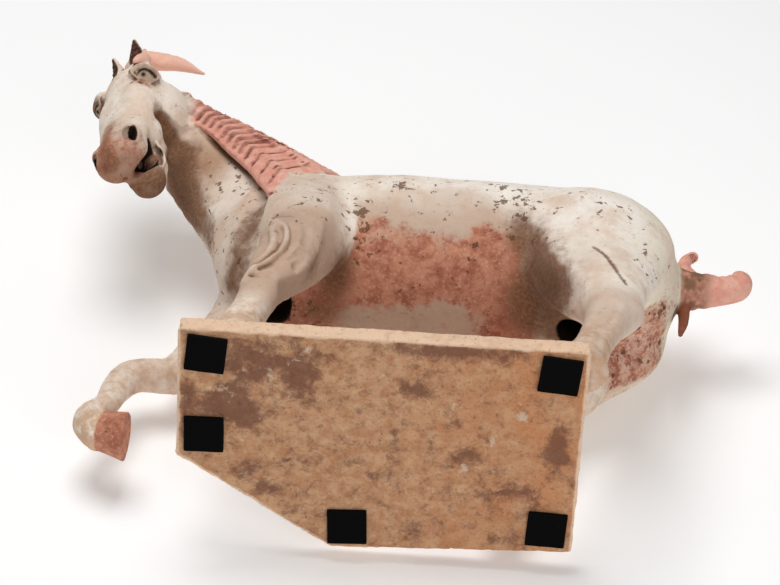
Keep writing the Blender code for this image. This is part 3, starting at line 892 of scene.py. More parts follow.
def settled(local, values):
    """Moves the points inside their cubes onto the surface."""
    weights, slopes = [], []
    for corner in CUBE_CORNERS:
        a, b, c = (local[:, k] if corner[k] else 1.0 - local[:, k] for k in range(3))
        signs = [1.0 if step else -1.0 for step in corner]
        weights.append(a * b * c)
        slopes.append([signs[0] * b * c, signs[1] * a * c, signs[2] * a * b])
    here = sum(weights[i] * values[:, i] for i in range(8))
    slope = np.stack([sum(slopes[i][k] * values[:, i] for i in range(8)) for k in range(3)], axis=1)
    move = here / np.maximum((slope**2).sum(1), 1e-12)
    return np.clip(local - np.clip(move[:, None] * slope, -0.5, 0.5), 0.02, 0.98)


def quads_between(inside, ids):
    """A quad across each grid edge that leaves or enters the clay."""
    found = []
    for k in range(3):
        lower = [slice(1, -1)] * 3
        lower[k] = slice(0, -1)
        upper = list(lower)
        upper[k] = slice(1, None)
        one, other = inside[tuple(lower)], inside[tuple(upper)]
        edges = np.argwhere(one != other)
        leaves = one[tuple(edges.T)]
        base = edges + 1
        base[:, k] -= 1
        loop = []
        for steps in ((1, 1), (0, 1), (0, 0), (1, 0)):
            cell = base.copy()
            cell[:, ((k + 1) % 3, (k + 2) % 3)] -= steps
            loop.append(ids[tuple(cell.T)])
        quads = np.stack(loop, axis=1)
        quads[~leaves] = quads[~leaves][:, ::-1]
        found.append(quads[(quads >= 0).all(axis=1)])
    return np.concatenate(found)


def mixed_up(keys):
    """Numbers from -1 to 1 that look random, one for each whole number."""
    keys = (keys & 0xFFFFFFFF).astype(np.uint64)
    keys = ((keys ^ (keys >> np.uint64(15))) * np.uint64(2246822519)) & np.uint64(0xFFFFFFFF)
    keys = ((keys ^ (keys >> np.uint64(13))) * np.uint64(3266489917)) & np.uint64(0xFFFFFFFF)
    return (keys ^ (keys >> np.uint64(16))).astype(float) / 2147483648.0 - 1.0


def unevenness(points, size, seed):
    """Smooth noise from -1 to 1, whose bumps are about this size in metres."""
    cell = points / size
    base = np.floor(cell).astype(np.int64)
    part = cell - base
    part = part * part * (3.0 - 2.0 * part)
    total = np.zeros(len(points))
    for corner in CUBE_CORNERS:
        key = (base + corner) @ np.array((73856093, 19349663, 83492791)) + seed * 40503
        total += mixed_up(key) * np.prod(np.where(corner, part, 1.0 - part), axis=1)
    return total


def linked(name, data):
    """A new object in the scene."""
    made = bpy.data.objects.new(name, data)
    bpy.context.scene.collection.objects.link(made)
    return made


def mesh_from(points, quads):
    mesh = bpy.data.meshes.new("clay")
    mesh.vertices.add(len(points))
    mesh.vertices.foreach_set("co", points.astype(np.float32).ravel())
    mesh.loops.add(quads.size)
    mesh.loops.foreach_set("vertex_index", quads.astype(np.int32).ravel())
    mesh.polygons.add(len(quads))
    mesh.polygons.foreach_set("loop_start", np.arange(0, quads.size, 4, dtype=np.int32))
    mesh.update(calc_edges=True)
    mesh.validate()
    return mesh


def rows_of(mesh, what):
    """The mesh's points, if what is co, or its normals."""
    found = np.empty(len(mesh.vertices) * 3, np.float32)
    mesh.vertices.foreach_get(what, found)
    return found.reshape(-1, 3).astype(float)


def fade(value, low, high):
    """0 at low and 1 at high, smooth between them; low may be the larger."""
    share = np.clip((value - low) / (high - low), 0.0, 1.0)
    return share * share * (3.0 - 2.0 * share)


def worn(points, normals):
    """The surface with the unevenness of hand-smoothed clay and the slab's rough wear."""
    layout = laid_out(points)
    slab = fade(layout[:, 2], LAYOUT_GROUND + 1.0, LAYOUT_GROUND - 1.0)
    face = fade(np.linalg.norm(layout - HEAD.at(0, 0, 50), axis=1), 110, 70)
    calm = 0.00035 * (1.0 - 0.6 * face) * unevenness(points, 0.016, 1)
    calm = calm + 0.00016 * unevenness(points, 0.006, 2)
    rough = 0.0006 * unevenness(points, 0.012, 3) + 0.0004 * unevenness(points, 0.0045, 4)
    pits = -0.0012 * fade(unevenness(points, 0.007, 5) + 0.4 * unevenness(points, 0.003, 6), 0.55, 0.9)
    height = calm * (1.0 - slab) + (rough + pits) * slab
    return points + normals * height[:, None]


def thinned(mesh, triangles):
    """A copy of the mesh with about this many triangles."""
    holder = linked("holder", mesh)
    thin = holder.modifiers.new("thin", "DECIMATE")
    thin.ratio = min(1.0, triangles / (2.0 * len(mesh.polygons)))
    thin.use_collapse_triangulate = True
    made = bpy.data.meshes.new_from_object(holder.evaluated_get(bpy.context.evaluated_depsgraph_get()))
    bpy.data.objects.remove(holder)
    return made


def hollows(axes, field, points, reach):
    """How deep in a hollow the points under these lie, from 0 in the open to 1. The points
    given stand this far off the surface, and the field is read straight between grid points."""
    base, part = [], []
    for k, axis in enumerate(axes):
        at = np.clip(np.searchsorted(axis, points[:, k], side="right") - 1, 0, field.shape[k] - 2)
        base.append(at)
        part.append(np.clip((points[:, k] - axis[at]) / (axis[at + 1] - axis[at]), 0.0, 1.0))
    total = np.zeros(len(points))
    for corner in CUBE_CORNERS:
        weight = np.prod([p if c else 1.0 - p for p, c in zip(part, corner)], axis=0)
        total += weight * field[tuple(b + c for b, c in zip(base, corner))]
    return np.clip(1.0 - total / reach, 0.0, 1.0)


def blot(layout, centre, radius):
    """1 at a layout point, falling to 0 at about the radius."""
    away = np.linalg.norm((layout - np.array(centre)) / radius, axis=1)
    return np.exp(-2.0 * away**2)


def blots(layout, rows):
    """Blots added up, each row a share, a layout point and radii along x, y and z."""
    return sum(share * blot(layout, (x, y, z), radii) for share, x, y, z, *radii in rows)


BREAST_RECESS = [(-117, -49, 284), (-123, -42, 268), (-127, -35, 251), (-130, -22, 238), (-137, -2, 236)]
THROAT_LINE = [(-199, -46, 384), (-193, -29, 372), (-184, -20, 356), (-175, -13, 338), (-164, -8, 312)]

# Blots of dirt and painted shade on the throat, under the elbow, in the hollow in front of the thigh and
# under the belly. Each row is a share, then x, y and z of the middle, then three radii.
DIRT_AND_SHADE_BLOTS = [
    (1.0, -197, -32, 370, 26, 40, 40), (0.8, -190, -10, 345, 22, 34, 40), (0.6, -195, -52, 390, 18, 20, 18),
    (1.0, -44, -34, 210, 24, 30, 34), (0.8, -58, -72, 150, 14, 18, 26), (1.0, 120, -16, 211, 34, 40, 30),
    (0.8, 136, -56, 188, 24, 34, 44), (0.7, 121, -60, 230, 24, 34, 56), (0.9, 146, -8, 207, 30, 40, 26),
    (0.9, 139, -50, 172, 24, 30, 32), (0.6, -56, 4, 211, 34, 22, 20),
]
FLECK_BLOTS = [
    (0.95, -31, -62, 248, 19, 36, 42), (0.9, 104, -72, 288, 26, 34, 28), (0.85, 10, -74, 302, 26, 20, 14),
    (0.5, 212, -62, 205, 34, 34, 34), (0.55, 128, -70, 222, 24, 26, 32),
]

# Stains and crusts under the slab: share, x and y, and radii along both.
SLAB_STAINS = [
    (1.0, -100, -72, 34, 26), (0.8, -62, -70, 22, 22), (0.8, -132, -30, 24, 14), (0.55, -108, -22, 26, 26),
    (0.6, -98, 28, 22, 14), (0.7, -84, 48, 16, 12), (1.0, 60, -92, 90, 9), (0.9, 28, -54, 14, 14),
    (0.7, 14, -10, 6, 24), (0.8, 108, 36, 26, 16), (0.7, 142, -2, 16, 20), (0.6, 34, 76, 14, 9),
    (0.5, 104, 82, 22, 10), (0.5, -72, 24, 10, 8), (0.4, 70, 6, 24, 18), (0.4, -60, -46, 26, 20),
    (0.8, -118, -34, 24, 20), (0.45, 143, -22, 14, 26), (0.6, -153, -20, 7, 60),
]
SLAB_CRUSTS = [
    (1, 16, -28, 8, 12), (1, 62, -42, 12, 8), (1, 90, -12, 12, 14), (1, 68, 14, 14, 12),
    (1, 46, 38, 8, 7), (1, -126, -44, 16, 6), (1, -88, -62, 12, 18), (1, -60, -84, 16, 10),
    (1, -44, 62, 10, 6), (1, 112, -36, 12, 10),
]


def under_slab(rows):
    """These rows as blots that reach through the slab."""
    return [(share, x, y, 0, across, along, 200) for share, x, y, across, along in rows]


def slab_edge_gap(points):
    """How far each point lies in from the slab's nearest side, in metres."""
    front, rear, left, right, _ = slab_sides()
    x, y = (points - ORIGIN)[:, :2].T
    cut = (x - front) / CORNER_CUT_LENGTH - (y - right + CORNER_CUT_WIDTH) / CORNER_CUT_WIDTH
    cut = cut * CORNER_CUT_WIDTH * CORNER_CUT_LENGTH / math.hypot(CORNER_CUT_LENGTH, CORNER_CUT_WIDTH)
    return np.min([x - front, rear - x, y - left, right - y, cut], axis=0)


def masks(axes, field, points, normals):
    """Shares from 0 to 1 of each colour, kind of wear and painted shade at each point."""

    def on(one, none, *forms):
        """1 at the first distance from the forms and 0 at the second, in layout millimetres."""
        return fade(np.min([form.distance(points) for form in forms], axis=0) / SCALE, none, one)

    def by_eyes(spot, radius):
        return sum(blot(layout, HEAD.at(*face_spot(side, *spot)), radius) for side in SIDES)

    layout = laid_out(points)
    x, y, z = layout.T
    forward, left, down = HEAD.seen(layout).T
    on_head = fade(down, 150, 130) * fade(forward, -85, -65) * fade(np.abs(left), 50, 40) * fade(z, 300, 320)
    broad = unevenness(points, 0.03, 11)
    small = unevenness(points, 0.010, 12)
    on_slab = on(0.8, 1.6, slab_form()) * fade(z, LAYOUT_GROUND + 2.5, LAYOUT_GROUND + 0.5)
    hair = on(0.6, 1.6, *mane_sheets(), *mane_locks()) * fade(forward, -46, -56)
    lock = on(0.8, 1.8, forelock())
    stub, curl, ribbon = tail_forms()
    tail = np.maximum(on(1.5, 3.0, stub) * fade(x + 2 * small, 248, 256), on(0.8, 1.8, curl, ribbon))
    root = tail * fade(x + 3 * small, 284, 268) * fade(z + 4 * small, 296, 284)

    eyes = on(0.3, 0.9, *map(eyeball, SIDES))
    cores = on(0.2, 1.0, *(nostril_form(side, *NOSTRIL_CORE) for side in SIDES))
    wings = on(0.2, 1.2, *(nostril_form(side, *NOSTRIL_WING) for side in SIDES))
    inside = on(0.4, 1.4, mouth(), lip_gap()) * fade(forward, -6, -10)
    # Painted shade in the upper part of the open mouth.
    gape = inside * fade(down, 120, 108) * on(1.4, 0.6, tongue()) * fade(left, 27, 22)
    # Painted shadow along the edge of each upper lid.
    lid_shadow = on(1.4, 3.6, *(thread(lid_line(side, LID_EDGE)) for side in SIDES))
    carved = SHOULDER_FOLDS + THIGH_SINEWS + [FLAKED_CRACK] + [lid_line(side, LID_CREASE) for side in SIDES]
    carved += [face_path(1, fold) for fold in EYE_FOLDS]
    lines = on(0.4, 2.4, *map(thread, carved))

    arm = on(1, 7, limb(LEFT_FORE_LEG))
    haunch = on(1, 9, hind_leg(-1, 0.0), ball((178, -44, 260), (64, 36, 70)))
    haunch = np.maximum(haunch, fade(x, 120, 150) * fade(y, 0, -10))
    trunk = (1.0 - arm * fade(z, 320, 300)) * (1.0 - haunch) * fade(np.abs(y), 100, 90)
    flank = fade(z + 16 * broad + 7 * small, 268, 236) * fade(z, 150, 170)
    flank = flank * fade(x, -112, -96) * fade(x, 140, 118)
    bared = fade(y + 10 * small, -10, 2) * fade(x, -60, -30) * fade(x, 100, 60) * fade(z, 236, 224)
    flank = flank * trunk * (1.0 - 0.75 * bared)
    inner = fade(x, 178, 196) * fade(y, -28, -12) * fade(z + 0.5 * x + 9 * small, 374, 350) * fade(y, 60, 42)
    muzzle = on_head * fade(down + 6 * broad + 0.8 * forward, 48, 140)
    lips = on_head * fade(down + 0.4 * forward + 3 * small, 100, 134)
    streak = on_head * fade(np.abs(left + 4 + 3 * small), 12, 3) * fade(down, 50, 80) * fade(forward, 5, 12)
    blush = by_eyes((4, 27, 20), (17, 17, 12)) * on_head
    raised = on(0.4, 1.2, raised_hoof()) * fade(x, -240, -231)
    pink = 0.95 * flank + 0.7 * inner + 0.48 * muzzle + 0.18 * lips + 0.3 * streak + 0.65 * blush + raised

    # Dirt and painted shade: the breast recess, the jowl's underside, the chin, the carved lines and the
    # eyes' surrounds are darkened.
    recess_dirt_and_shade = on(0, 24, thread(BREAST_RECESS)) * fade(y, -78, -64)
    # Painted shadow in the hollow in front of the thigh, along the flank fold.
    fold = on(0, 24, thread(FLANK_FOLD)) * fade(x + 0.25 * z, 190, 176)
    spots = ((-26, 43, 14), (-38, 50, 16), (-50, 54, 18))
    jowl_dirt_and_shade = sum(blot(layout, HEAD.at(f, 17, d), radius) for f, d, radius in spots)
    jowl_dirt_and_shade = jowl_dirt_and_shade * fade(down + 0.27 * (forward + 21.0), 33, 38)
    chin = on_head * fade(down, 104, 118) * fade(forward, -12, -18)
    snout = 0.4 * streak + 0.55 * on_head * fade(down + 4 * small, 108, 136)
    around_eye = by_eyes((1, 29, 7), 19)
    dirt_and_shade = 0.75 * recess_dirt_and_shade + 0.7 * fold + 1.1 * jowl_dirt_and_shade + 0.45 * chin + snout + 0.75 * lines + 0.6 * around_eye
    # Painted shade also in the groove down the throat and in the blots.
    dirt_and_shade = dirt_and_shade + 0.8 * on(0, 30, thread(THROAT_LINE)) + blots(layout, DIRT_AND_SHADE_BLOTS)
    # Painted shade: the right eye, which lies in shadow, is darkened all round.
    dirt_and_shade = dirt_and_shade + blot(layout, HEAD.at(*face_spot(-1, 0, 31, 8)), 16)

    # Brown wash and painted shade: the foreleg, the lower flank, the throat side of the neck, the lower hind
    # leg, the jowl's underside, the eyes' surrounds and the lower right half of the face are darkened.
    leg_wash_and_shade = arm * fade(z, 250, 225) * fade(z, 60, 100) * fade(z + 6 * broad, 238, 200)
    side_wash_and_shade = fade(z + 14 * broad, 300, 262) * fade(x, -90, -60) * fade(x, 128, 96) * trunk
    neck = fade(z, 300, 330) * fade(x, -60, -90) * (1.0 - on_head)
    neck_wash_and_shade = neck * (0.2 + 0.8 * fade(x - 0.7 * z + 12 * broad, -395, -440))
    shoulder = fade(z, 200, 230) * fade(z, 330, 300) * fade(x, -40, -60)
    hind_wash_and_shade = haunch * (0.5 * fade(z, 150, 120) + 0.35 * blot(layout, (160, -84, 180), (24, 20, 40)))
    wash_and_shade = 0.85 * leg_wash_and_shade + 0.75 * side_wash_and_shade + 0.8 * neck_wash_and_shade + 0.4 * shoulder + hind_wash_and_shade + jowl_dirt_and_shade
    wash_and_shade = wash_and_shade + 0.3 * on_head * fade(left, 18, 26) * fade(forward, -20, -45)
    wash_and_shade = wash_and_shade + blot(layout, (-178, -44, 382), (32, 38, 36)) + 0.15 * bared * trunk
    wash_and_shade = wash_and_shade + 0.6 * around_eye + 0.5 * muzzle + 0.3 * on_head * fade(left, 4, -8) * fade(down, 64, 96)

    flecks = blots(layout, FLECK_BLOTS) + 0.3 * flank + 0.45 * inner - 0.15 * on_head
    flecks += 0.42 * fade(z, 225, 262) * fade(x, -70, -40) * fade(x, 240, 180)
    flecks += 0.52 * fade(z, 120, 230) * fade(x, -40, -64) + 0.25 * fade(x, 150, 180) * fade(z, 160, 200)
    flecks += 0.12 * fade(z, 300, 340) * fade(x, -60, -100)
    bare = (1.0 - hair) * (1.0 - lock)
    far_legs = 0.8 * fade(y, 20, 40) * fade(x, -130, -160) + 0.6 * fade(y, 26, 44) * fade(x, 90, 130)
    return {
        "on_slab": on_slab,
        "slab_stain": blots(layout, under_slab(SLAB_STAINS)),
        "slab_crust": blots(layout, under_slab(SLAB_CRUSTS)),
        "slab_edge": fade(slab_edge_gap(points) / SCALE + 1.2 * small, 4.5, 0.8),
        "slab_orange": fade(x + 20 * broad, -20, 150),
        "hair": hair + tail,
        "root": root,
        "forelock": lock,
        "eyes": eyes,
        "pupils_and_lid_shadow": np.maximum(1.3 * by_eyes((5.5, 29.5, 13), 3.4), lid_shadow) * eyes,
        # Where the furrows between the locks lie, for the painted shade in them.
        "furrow": hair * on(0.8, 2.8, *mane_furrows()),
        "ears": on(0.4, 1.4, *map(ear_hollow, SIDES)),
        # Painted shade: the nostrils' cores and wings, the mouth's gape and the vents are painted near
        # black, as the shade inside a hole.
        "hole_shade": 0.95 * cores + 0.5 * wings + gape + on(0.3, 1.5, *vent_forms()),
        "mouth": inside,
        "pink": pink,
        "dirt_and_shade": dirt_and_shade * bare,
        "wash_and_shade": wash_and_shade,
        "cavity": hollows(axes, field, points + normals * 0.004, 0.004),
        "flecks": np.clip(flecks, -1.0, 1.0) * bare * (1.0 - tail),
        "face": on_head,
        "white": blot(layout, (188, -86, 253), (70, 50, 60)) + 0.8 * fade(z, 285, 320) * fade(x, 0, 50),
        "green": fade(x, 150, 200) * fade(z + 12 * broad, 190, 230),
        "buff": fade(z, 100, 50) + far_legs,
        "ribbon": on(0.8, 2.0, ribbon),
    }


def build_horse(material):
    axes, field, known = sculpted()
    raw = mesh_from(*skin(axes, field, known))
    rough = worn(rows_of(raw, "co"), rows_of(raw, "normal"))
    raw.vertices.foreach_set("co", rough.astype(np.float32).ravel())
    raw.update()
    mesh = thinned(raw, SURFACE_TRIANGLES)
    bpy.data.meshes.remove(raw)
    mesh.name = "horse_clay"
    for name, values in masks(axes, field, rows_of(mesh, "co"), rows_of(mesh, "normal")).items():
        mesh.attributes.new(name, "FLOAT", "POINT").data.foreach_set("value", values.astype(np.float32))
    mesh.materials.clear()
    mesh.materials.append(material)
    mesh.shade_smooth()
    horse = linked("horse_clay", mesh)
    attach(horse, "root")
    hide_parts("horse")
    return horse


class Value:
    """A number out of a shader node. Sums of such numbers make further nodes."""

    def __init__(self, nodes, socket):
        self.nodes = nodes
        self.socket = socket

    def __add__(self, other):
        return self.nodes.sum("ADD", self, other)

    def __mul__(self, other):
        return self.nodes.sum("MULTIPLY", self, other)

    def __sub__(self, other):
        return self.nodes.sum("SUBTRACT", self, other)

    def __rsub__(self, other):
        return self.nodes.sum("SUBTRACT", other, self)

    def step(self, low, high):
        """0 below low and 1 above high, smooth between them."""
        made = self.nodes.node("ShaderNodeMapRange", interpolation_type="SMOOTHSTEP")
        for name, given in (("Value", self), ("From Min", low), ("From Max", high)):
            self.nodes.feed(made.inputs[name], given)
        return Value(self.nodes, made.outputs["Result"])


class Nodes:
    """Short names for the shader nodes that the materials use."""

    def __init__(self, name):
        self.material = bpy.data.materials.new(name)
        self.material.use_nodes = True
        self.tree = self.material.node_tree
        self.shader = self.tree.nodes["Principled BSDF"]
        self.where = self.tree.nodes.new("ShaderNodeTexCoord").outputs["Object"]

    def node(self, kind, **settings):
        made = self.tree.nodes.new(kind)
        for key, value in settings.items():
            setattr(made, key, value)
        return made

    def feed(self, socket, value):
        if isinstance(value, Value):
            self.tree.links.new(value.socket, socket)
        elif isinstance(value, bpy.types.NodeSocket):
            self.tree.links.new(value, socket)
        elif isinstance(value, (tuple, list)):
            socket.default_value = (*value, 1.0)
        else:
            socket.default_value = value

    def surface(self, **inputs):
        """Feeds the shader, whose inputs are written with _ for a space."""
        for name, value in inputs.items():
            self.feed(self.shader.inputs[name.replace("_", " ")], value)

    def mask(self, name):
        return Value(self, self.node("ShaderNodeAttribute", attribute_name=name).outputs["Fac"])

    def sum(self, operation, first, second):
        made = self.node("ShaderNodeMath", operation=operation)
        self.feed(made.inputs[0], first)
        self.feed(made.inputs[1], second)
        return Value(self, made.outputs[0])

    def noise(self, size, detail=3.0, roughness=0.55, distortion=0.0, shift=0.0):
        """Noise whose bumps are about this size in metres."""
        mapping = self.node("ShaderNodeMapping")
        self.feed(mapping.inputs["Vector"], self.where)
        mapping.inputs["Scale"].default_value = (1.0 / size,) * 3
        mapping.inputs["Location"].default_value = (shift,) * 3
        made = self.node("ShaderNodeTexNoise")
        self.feed(made.inputs["Vector"], mapping.outputs[0])
        given = {"Scale": 1.0, "Detail": detail, "Roughness": roughness, "Distortion": distortion}
        for name, value in given.items():
            made.inputs[name].default_value = value
        return Value(self, made.outputs["Fac"])

    def mix(self, share, first, second, blend="MIX"):
        made = self.node("ShaderNodeMix", data_type="RGBA", blend_type=blend)
        made.clamp_factor = True
        self.feed(made.inputs["Factor"], share)
        self.feed([s for s in made.inputs if s.name == "A" and s.type == "RGBA"][0], first)
        self.feed([s for s in made.inputs if s.name == "B" and s.type == "RGBA"][0], second)
        return [s for s in made.outputs if s.type == "RGBA"][0]

    def bump(self, height, strength, distance):
        made = self.node("ShaderNodeBump")
        made.inputs["Strength"].default_value = strength
        made.inputs["Distance"].default_value = distance
        self.feed(made.inputs["Height"], height)
        return made.outputs[0]


# Colours of the clay and its paint, and of painted shade, linear.
SLIP = (0.76, 0.60, 0.48)
SLIP_WHITE = (0.88, 0.79, 0.69)
BARE_WHITE = (0.93, 0.87, 0.80)
SLIP_GREEN = (0.78, 0.69, 0.53)
CLAY_BUFF = (0.64, 0.43, 0.29)
WASH_AND_SHADE_BROWN = (0.42, 0.245, 0.15)
PINK = (0.60, 0.27, 0.17)
PINK_DEEP = (0.36, 0.125, 0.075)
PINK_LIGHT = (0.74, 0.47, 0.35)
MANE_PINK = (0.74, 0.33, 0.25)
MANE_LIGHT = (0.82, 0.47, 0.37)
MANE_RED_AND_CREASE_SHADE = (0.20, 0.055, 0.035)
ROOT_BROWN = (0.23, 0.115, 0.065)
RIBBON_RED = (0.26, 0.075, 0.04)
FORELOCK_PINK = (0.84, 0.50, 0.39)
EARTH_AND_SHADE_BROWN = (0.165, 0.072, 0.034)
DARK_EARTH_AND_SHADE = (0.090, 0.040, 0.020)
EYE_GREY = (0.52, 0.39, 0.28)
PUPIL_AND_LID_SHADOW = (0.03, 0.018, 0.012)
EAR_RED = (0.16, 0.070, 0.048)
EAR_DARK = (0.045, 0.020, 0.014)
MOUTH_DARK = (0.20, 0.08, 0.05)
MOUTH_LIGHT = (0.30, 0.18, 0.11)
HOLE_SHADE_BLACK = (0.020, 0.010, 0.006)
SLAB_CLAY = (0.46, 0.225, 0.115)
SLAB_ORANGE = (0.54, 0.235, 0.105)
SLAB_LIGHT = (0.60, 0.36, 0.205)
SLAB_STAIN = (0.145, 0.058, 0.040)
CRUST = (0.66, 0.52, 0.40)
EDGE_BUFF = (0.86, 0.62, 0.44)
FELT_BLACK = (0.001, 0.001, 0.001)
FELT_GREY = (0.004, 0.0035, 0.004)
FELT_DUST = (0.010, 0.009, 0.008)
STAGE_WHITE = (0.93, 0.93, 0.93)


def painted_pottery():
    n = Nodes("painted_pottery")
    broad = n.noise(0.035, 4.0, 0.6)
    middle = n.noise(0.009, 4.0, 0.6, shift=3.0)
    small = n.noise(0.0028, 4.0, 0.65, shift=7.0)
    grain = n.noise(0.0007, 2.0, 0.6, shift=11.0)

    colour = n.mix(broad.step(0.36, 0.60), SLIP, SLIP_WHITE)
    colour = n.mix(n.mask("green") * broad.step(0.30, 0.62), colour, SLIP_GREEN)
    colour = n.mix(n.mask("white") * broad.step(0.25, 0.55), colour, BARE_WHITE)
    colour = n.mix(n.mask("buff") * middle.step(0.25, 0.70), colour, CLAY_BUFF)
    patchy = (broad * 0.6 + small * 0.4).step(0.38, 0.62)
    # A brown wash with painted shade, where the wash and shade mask is high.
    colour = n.mix(n.mask("wash_and_shade") * (patchy * 0.3 + 0.65), colour, WASH_AND_SHADE_BROWN)
    lost = (small + middle * 0.6).step(0.86, 1.02)
    colour = n.mix(lost * 0.45, colour, CLAY_BUFF)

    pink = n.mix((middle + broad * 0.6).step(0.60, 1.0), PINK_DEEP, PINK)
    pink = n.mix(small.step(0.52, 0.70) * 0.45, pink, PINK_LIGHT)
    paint = n.mask("pink") * 1.25 - (middle + small * 0.6).step(0.55, 1.0) * 0.45
    colour = n.mix(paint.step(0.0, 0.85), colour, pink)

    cavity = n.mask("cavity")
    hair = n.mix(middle.step(0.35, 0.7), MANE_PINK, MANE_LIGHT)
    # Deep red and painted shade: the mane darkens in its hollows and along the furrows between its locks.
    hair = n.mix(cavity.step(0.20, 0.55), hair, MANE_RED_AND_CREASE_SHADE)
    hair = n.mix(n.mask("furrow") * (middle.step(0.35, 0.62) * 0.65 + 0.25), hair, MANE_RED_AND_CREASE_SHADE)
    hair = n.mix(small.step(0.58, 0.72) * 0.5, hair, EARTH_AND_SHADE_BROWN)
    colour = n.mix(n.mask("hair"), colour, hair)
    colour = n.mix(n.mask("root") * middle.step(0.2, 0.6), colour, ROOT_BROWN)
    # Painted shade in the forelock's hollows too.
    colour = n.mix(n.mask("forelock"), colour, n.mix(cavity.step(0.25, 0.6), FORELOCK_PINK, MANE_RED_AND_CREASE_SHADE))
    colour = n.mix(n.mask("ribbon") * 0.8, colour, RIBBON_RED)

    # Earth brown for dirt and painted shade, darkest where the dirt and shade mask is highest.
    earth_and_shade = middle * 0.7 + small * 0.3 + n.mask("dirt_and_shade") * 0.75
    soil_and_shade = n.mix(small.step(0.38, 0.66), EARTH_AND_SHADE_BROWN, WASH_AND_SHADE_BROWN)
    colour = n.mix(earth_and_shade.step(0.62, 1.26) * 0.92, colour, n.mix(0.3, EARTH_AND_SHADE_BROWN, soil_and_shade))
    colour = n.mix(n.mask("dirt_and_shade").step(1.0, 1.9) * 0.55, colour, DARK_EARTH_AND_SHADE)
    # Painted shade with dirt: deeper hollows and creases outside the hair are darkened to brown.
    soiled_and_crease_shade = cavity.step(0.22, 0.70) * (1.0 - n.mask("hair"))
    colour = n.mix(soiled_and_crease_shade * 0.8, colour, EARTH_AND_SHADE_BROWN)

    limit = 0.705 - n.mask("flecks") * 0.165
    fleck = n.noise(0.0075, 4.0, 0.62, 0.3, shift=5.0).step(limit, limit + 0.03) * (1.0 - n.mask("on_slab"))
    fleck_colour = n.mix(middle.step(0.3, 0.7), DARK_EARTH_AND_SHADE, EARTH_AND_SHADE_BROWN)
    colour = n.mix(fleck * (0.82 - n.mask("face") * 0.5), colour, fleck_colour)

    slab = n.mix(middle.step(0.3, 0.7), SLAB_CLAY, SLAB_LIGHT)
    slab = n.mix(n.mask("slab_orange") * broad.step(0.3, 0.7), slab, SLAB_ORANGE)
    slab = n.mix(small.step(0.48, 0.70) * 0.4, slab, SLAB_STAIN)
    stain = n.noise(0.014, 8.0, 0.72, 0.3, shift=2.0) + n.mask("slab_stain") * 0.28
    slab = n.mix(stain.step(0.48, 0.72) * 0.78, slab, SLAB_STAIN)
    crust = n.noise(0.008, 8.0, 0.75, 0.4, shift=9.0) + n.mask("slab_crust") * 0.12
    slab = n.mix(crust.step(0.60, 0.72) * 0.65, slab, CRUST)
    pits = n.noise(0.0030, 3.0, 0.6, shift=13.0).step(0.64, 0.72)
    slab = n.mix(pits * 0.7, slab, DARK_EARTH_AND_SHADE)
    edge = n.mask("slab_edge")
    edge_colour = n.mix(middle.step(0.46, 0.66) * 0.5, EDGE_BUFF, CLAY_BUFF)
    edge_colour = n.mix(small.step(0.56, 0.70) * 0.5, edge_colour, EARTH_AND_SHADE_BROWN)
    slab = n.mix(edge * (small + edge).step(0.75, 1.3) * 0.85, slab, edge_colour)
    colour = n.mix(n.mask("on_slab"), colour, slab)

    colour = n.mix(n.mask("mouth"), colour, n.mix(middle.step(0.3, 0.7), MOUTH_DARK, MOUTH_LIGHT))
    colour = n.mix(n.mask("ears"), colour, n.mix(small.step(0.40, 0.66), EAR_DARK, EAR_RED))
    # Painted shade in the holes.
    colour = n.mix(n.mask("hole_shade"), colour, HOLE_SHADE_BLACK)
    colour = n.mix(n.mask("eyes"), colour, EYE_GREY)
    # Painted pupils and the painted shadow under each upper lid.
    colour = n.mix(n.mask("pupils_and_lid_shadow"), colour, PUPIL_AND_LID_SHADOW)
    speckle = grain * 0.2 + small * 0.3 + 0.76
    shade = n.node("ShaderNodeCombineColor")
    for socket in shade.inputs[:3]:
        n.feed(socket, speckle)
    colour = n.mix(1.0, colour, shade.outputs[0], "MULTIPLY")
    n.surface(Base_Color=colour, Roughness=middle * 0.2 + 0.72, Specular_IOR_Level=0.12)
    height = grain * 0.12 + small * 0.5 - fleck * 0.6 - lost * 0.2
    n.surface(Normal=n.bump(height, 0.7, 0.0006))
    return n.material


def black_felt():
    n = Nodes("black_felt")
    fibres = n.noise(0.0009, 5.0, 0.75, 1.5)
    clumps = n.noise(0.005, 3.0, 0.6, shift=4.0)
    colour = n.mix(fibres.step(0.3, 0.8), FELT_BLACK, FELT_GREY)
    colour = n.mix(clumps.step(0.62, 0.8) * 0.4, colour, FELT_DUST)
    n.surface(Base_Color=colour, Roughness=fibres * 0.12 + 0.85, Specular_IOR_Level=0.1)
    n.surface(Normal=n.bump(fibres, 0.8, 0.0005))
    return n.material


def box_surface(counts):
    """Points, from -0.5 to 0.5 along each axis, and quads of a box's skin parted by these counts."""
    ids = {}
    quads = []
    for k in range(3):
        a, b = (k + 1) % 3, (k + 2) % 3
        for end, i, j in itertools.product((0, counts[k]), range(counts[a]), range(counts[b])):
            loop = []
            for di, dj in ((0, 0), (1, 0), (1, 1), (0, 1)):
                spot = [end] * 3
                spot[a] = i + di
                spot[b] = j + dj
                loop.append(ids.setdefault(tuple(spot), len(ids)))
            quads.append(loop if end else loop[::-1])
    return np.array(list(ids)) / counts - 0.5, quads


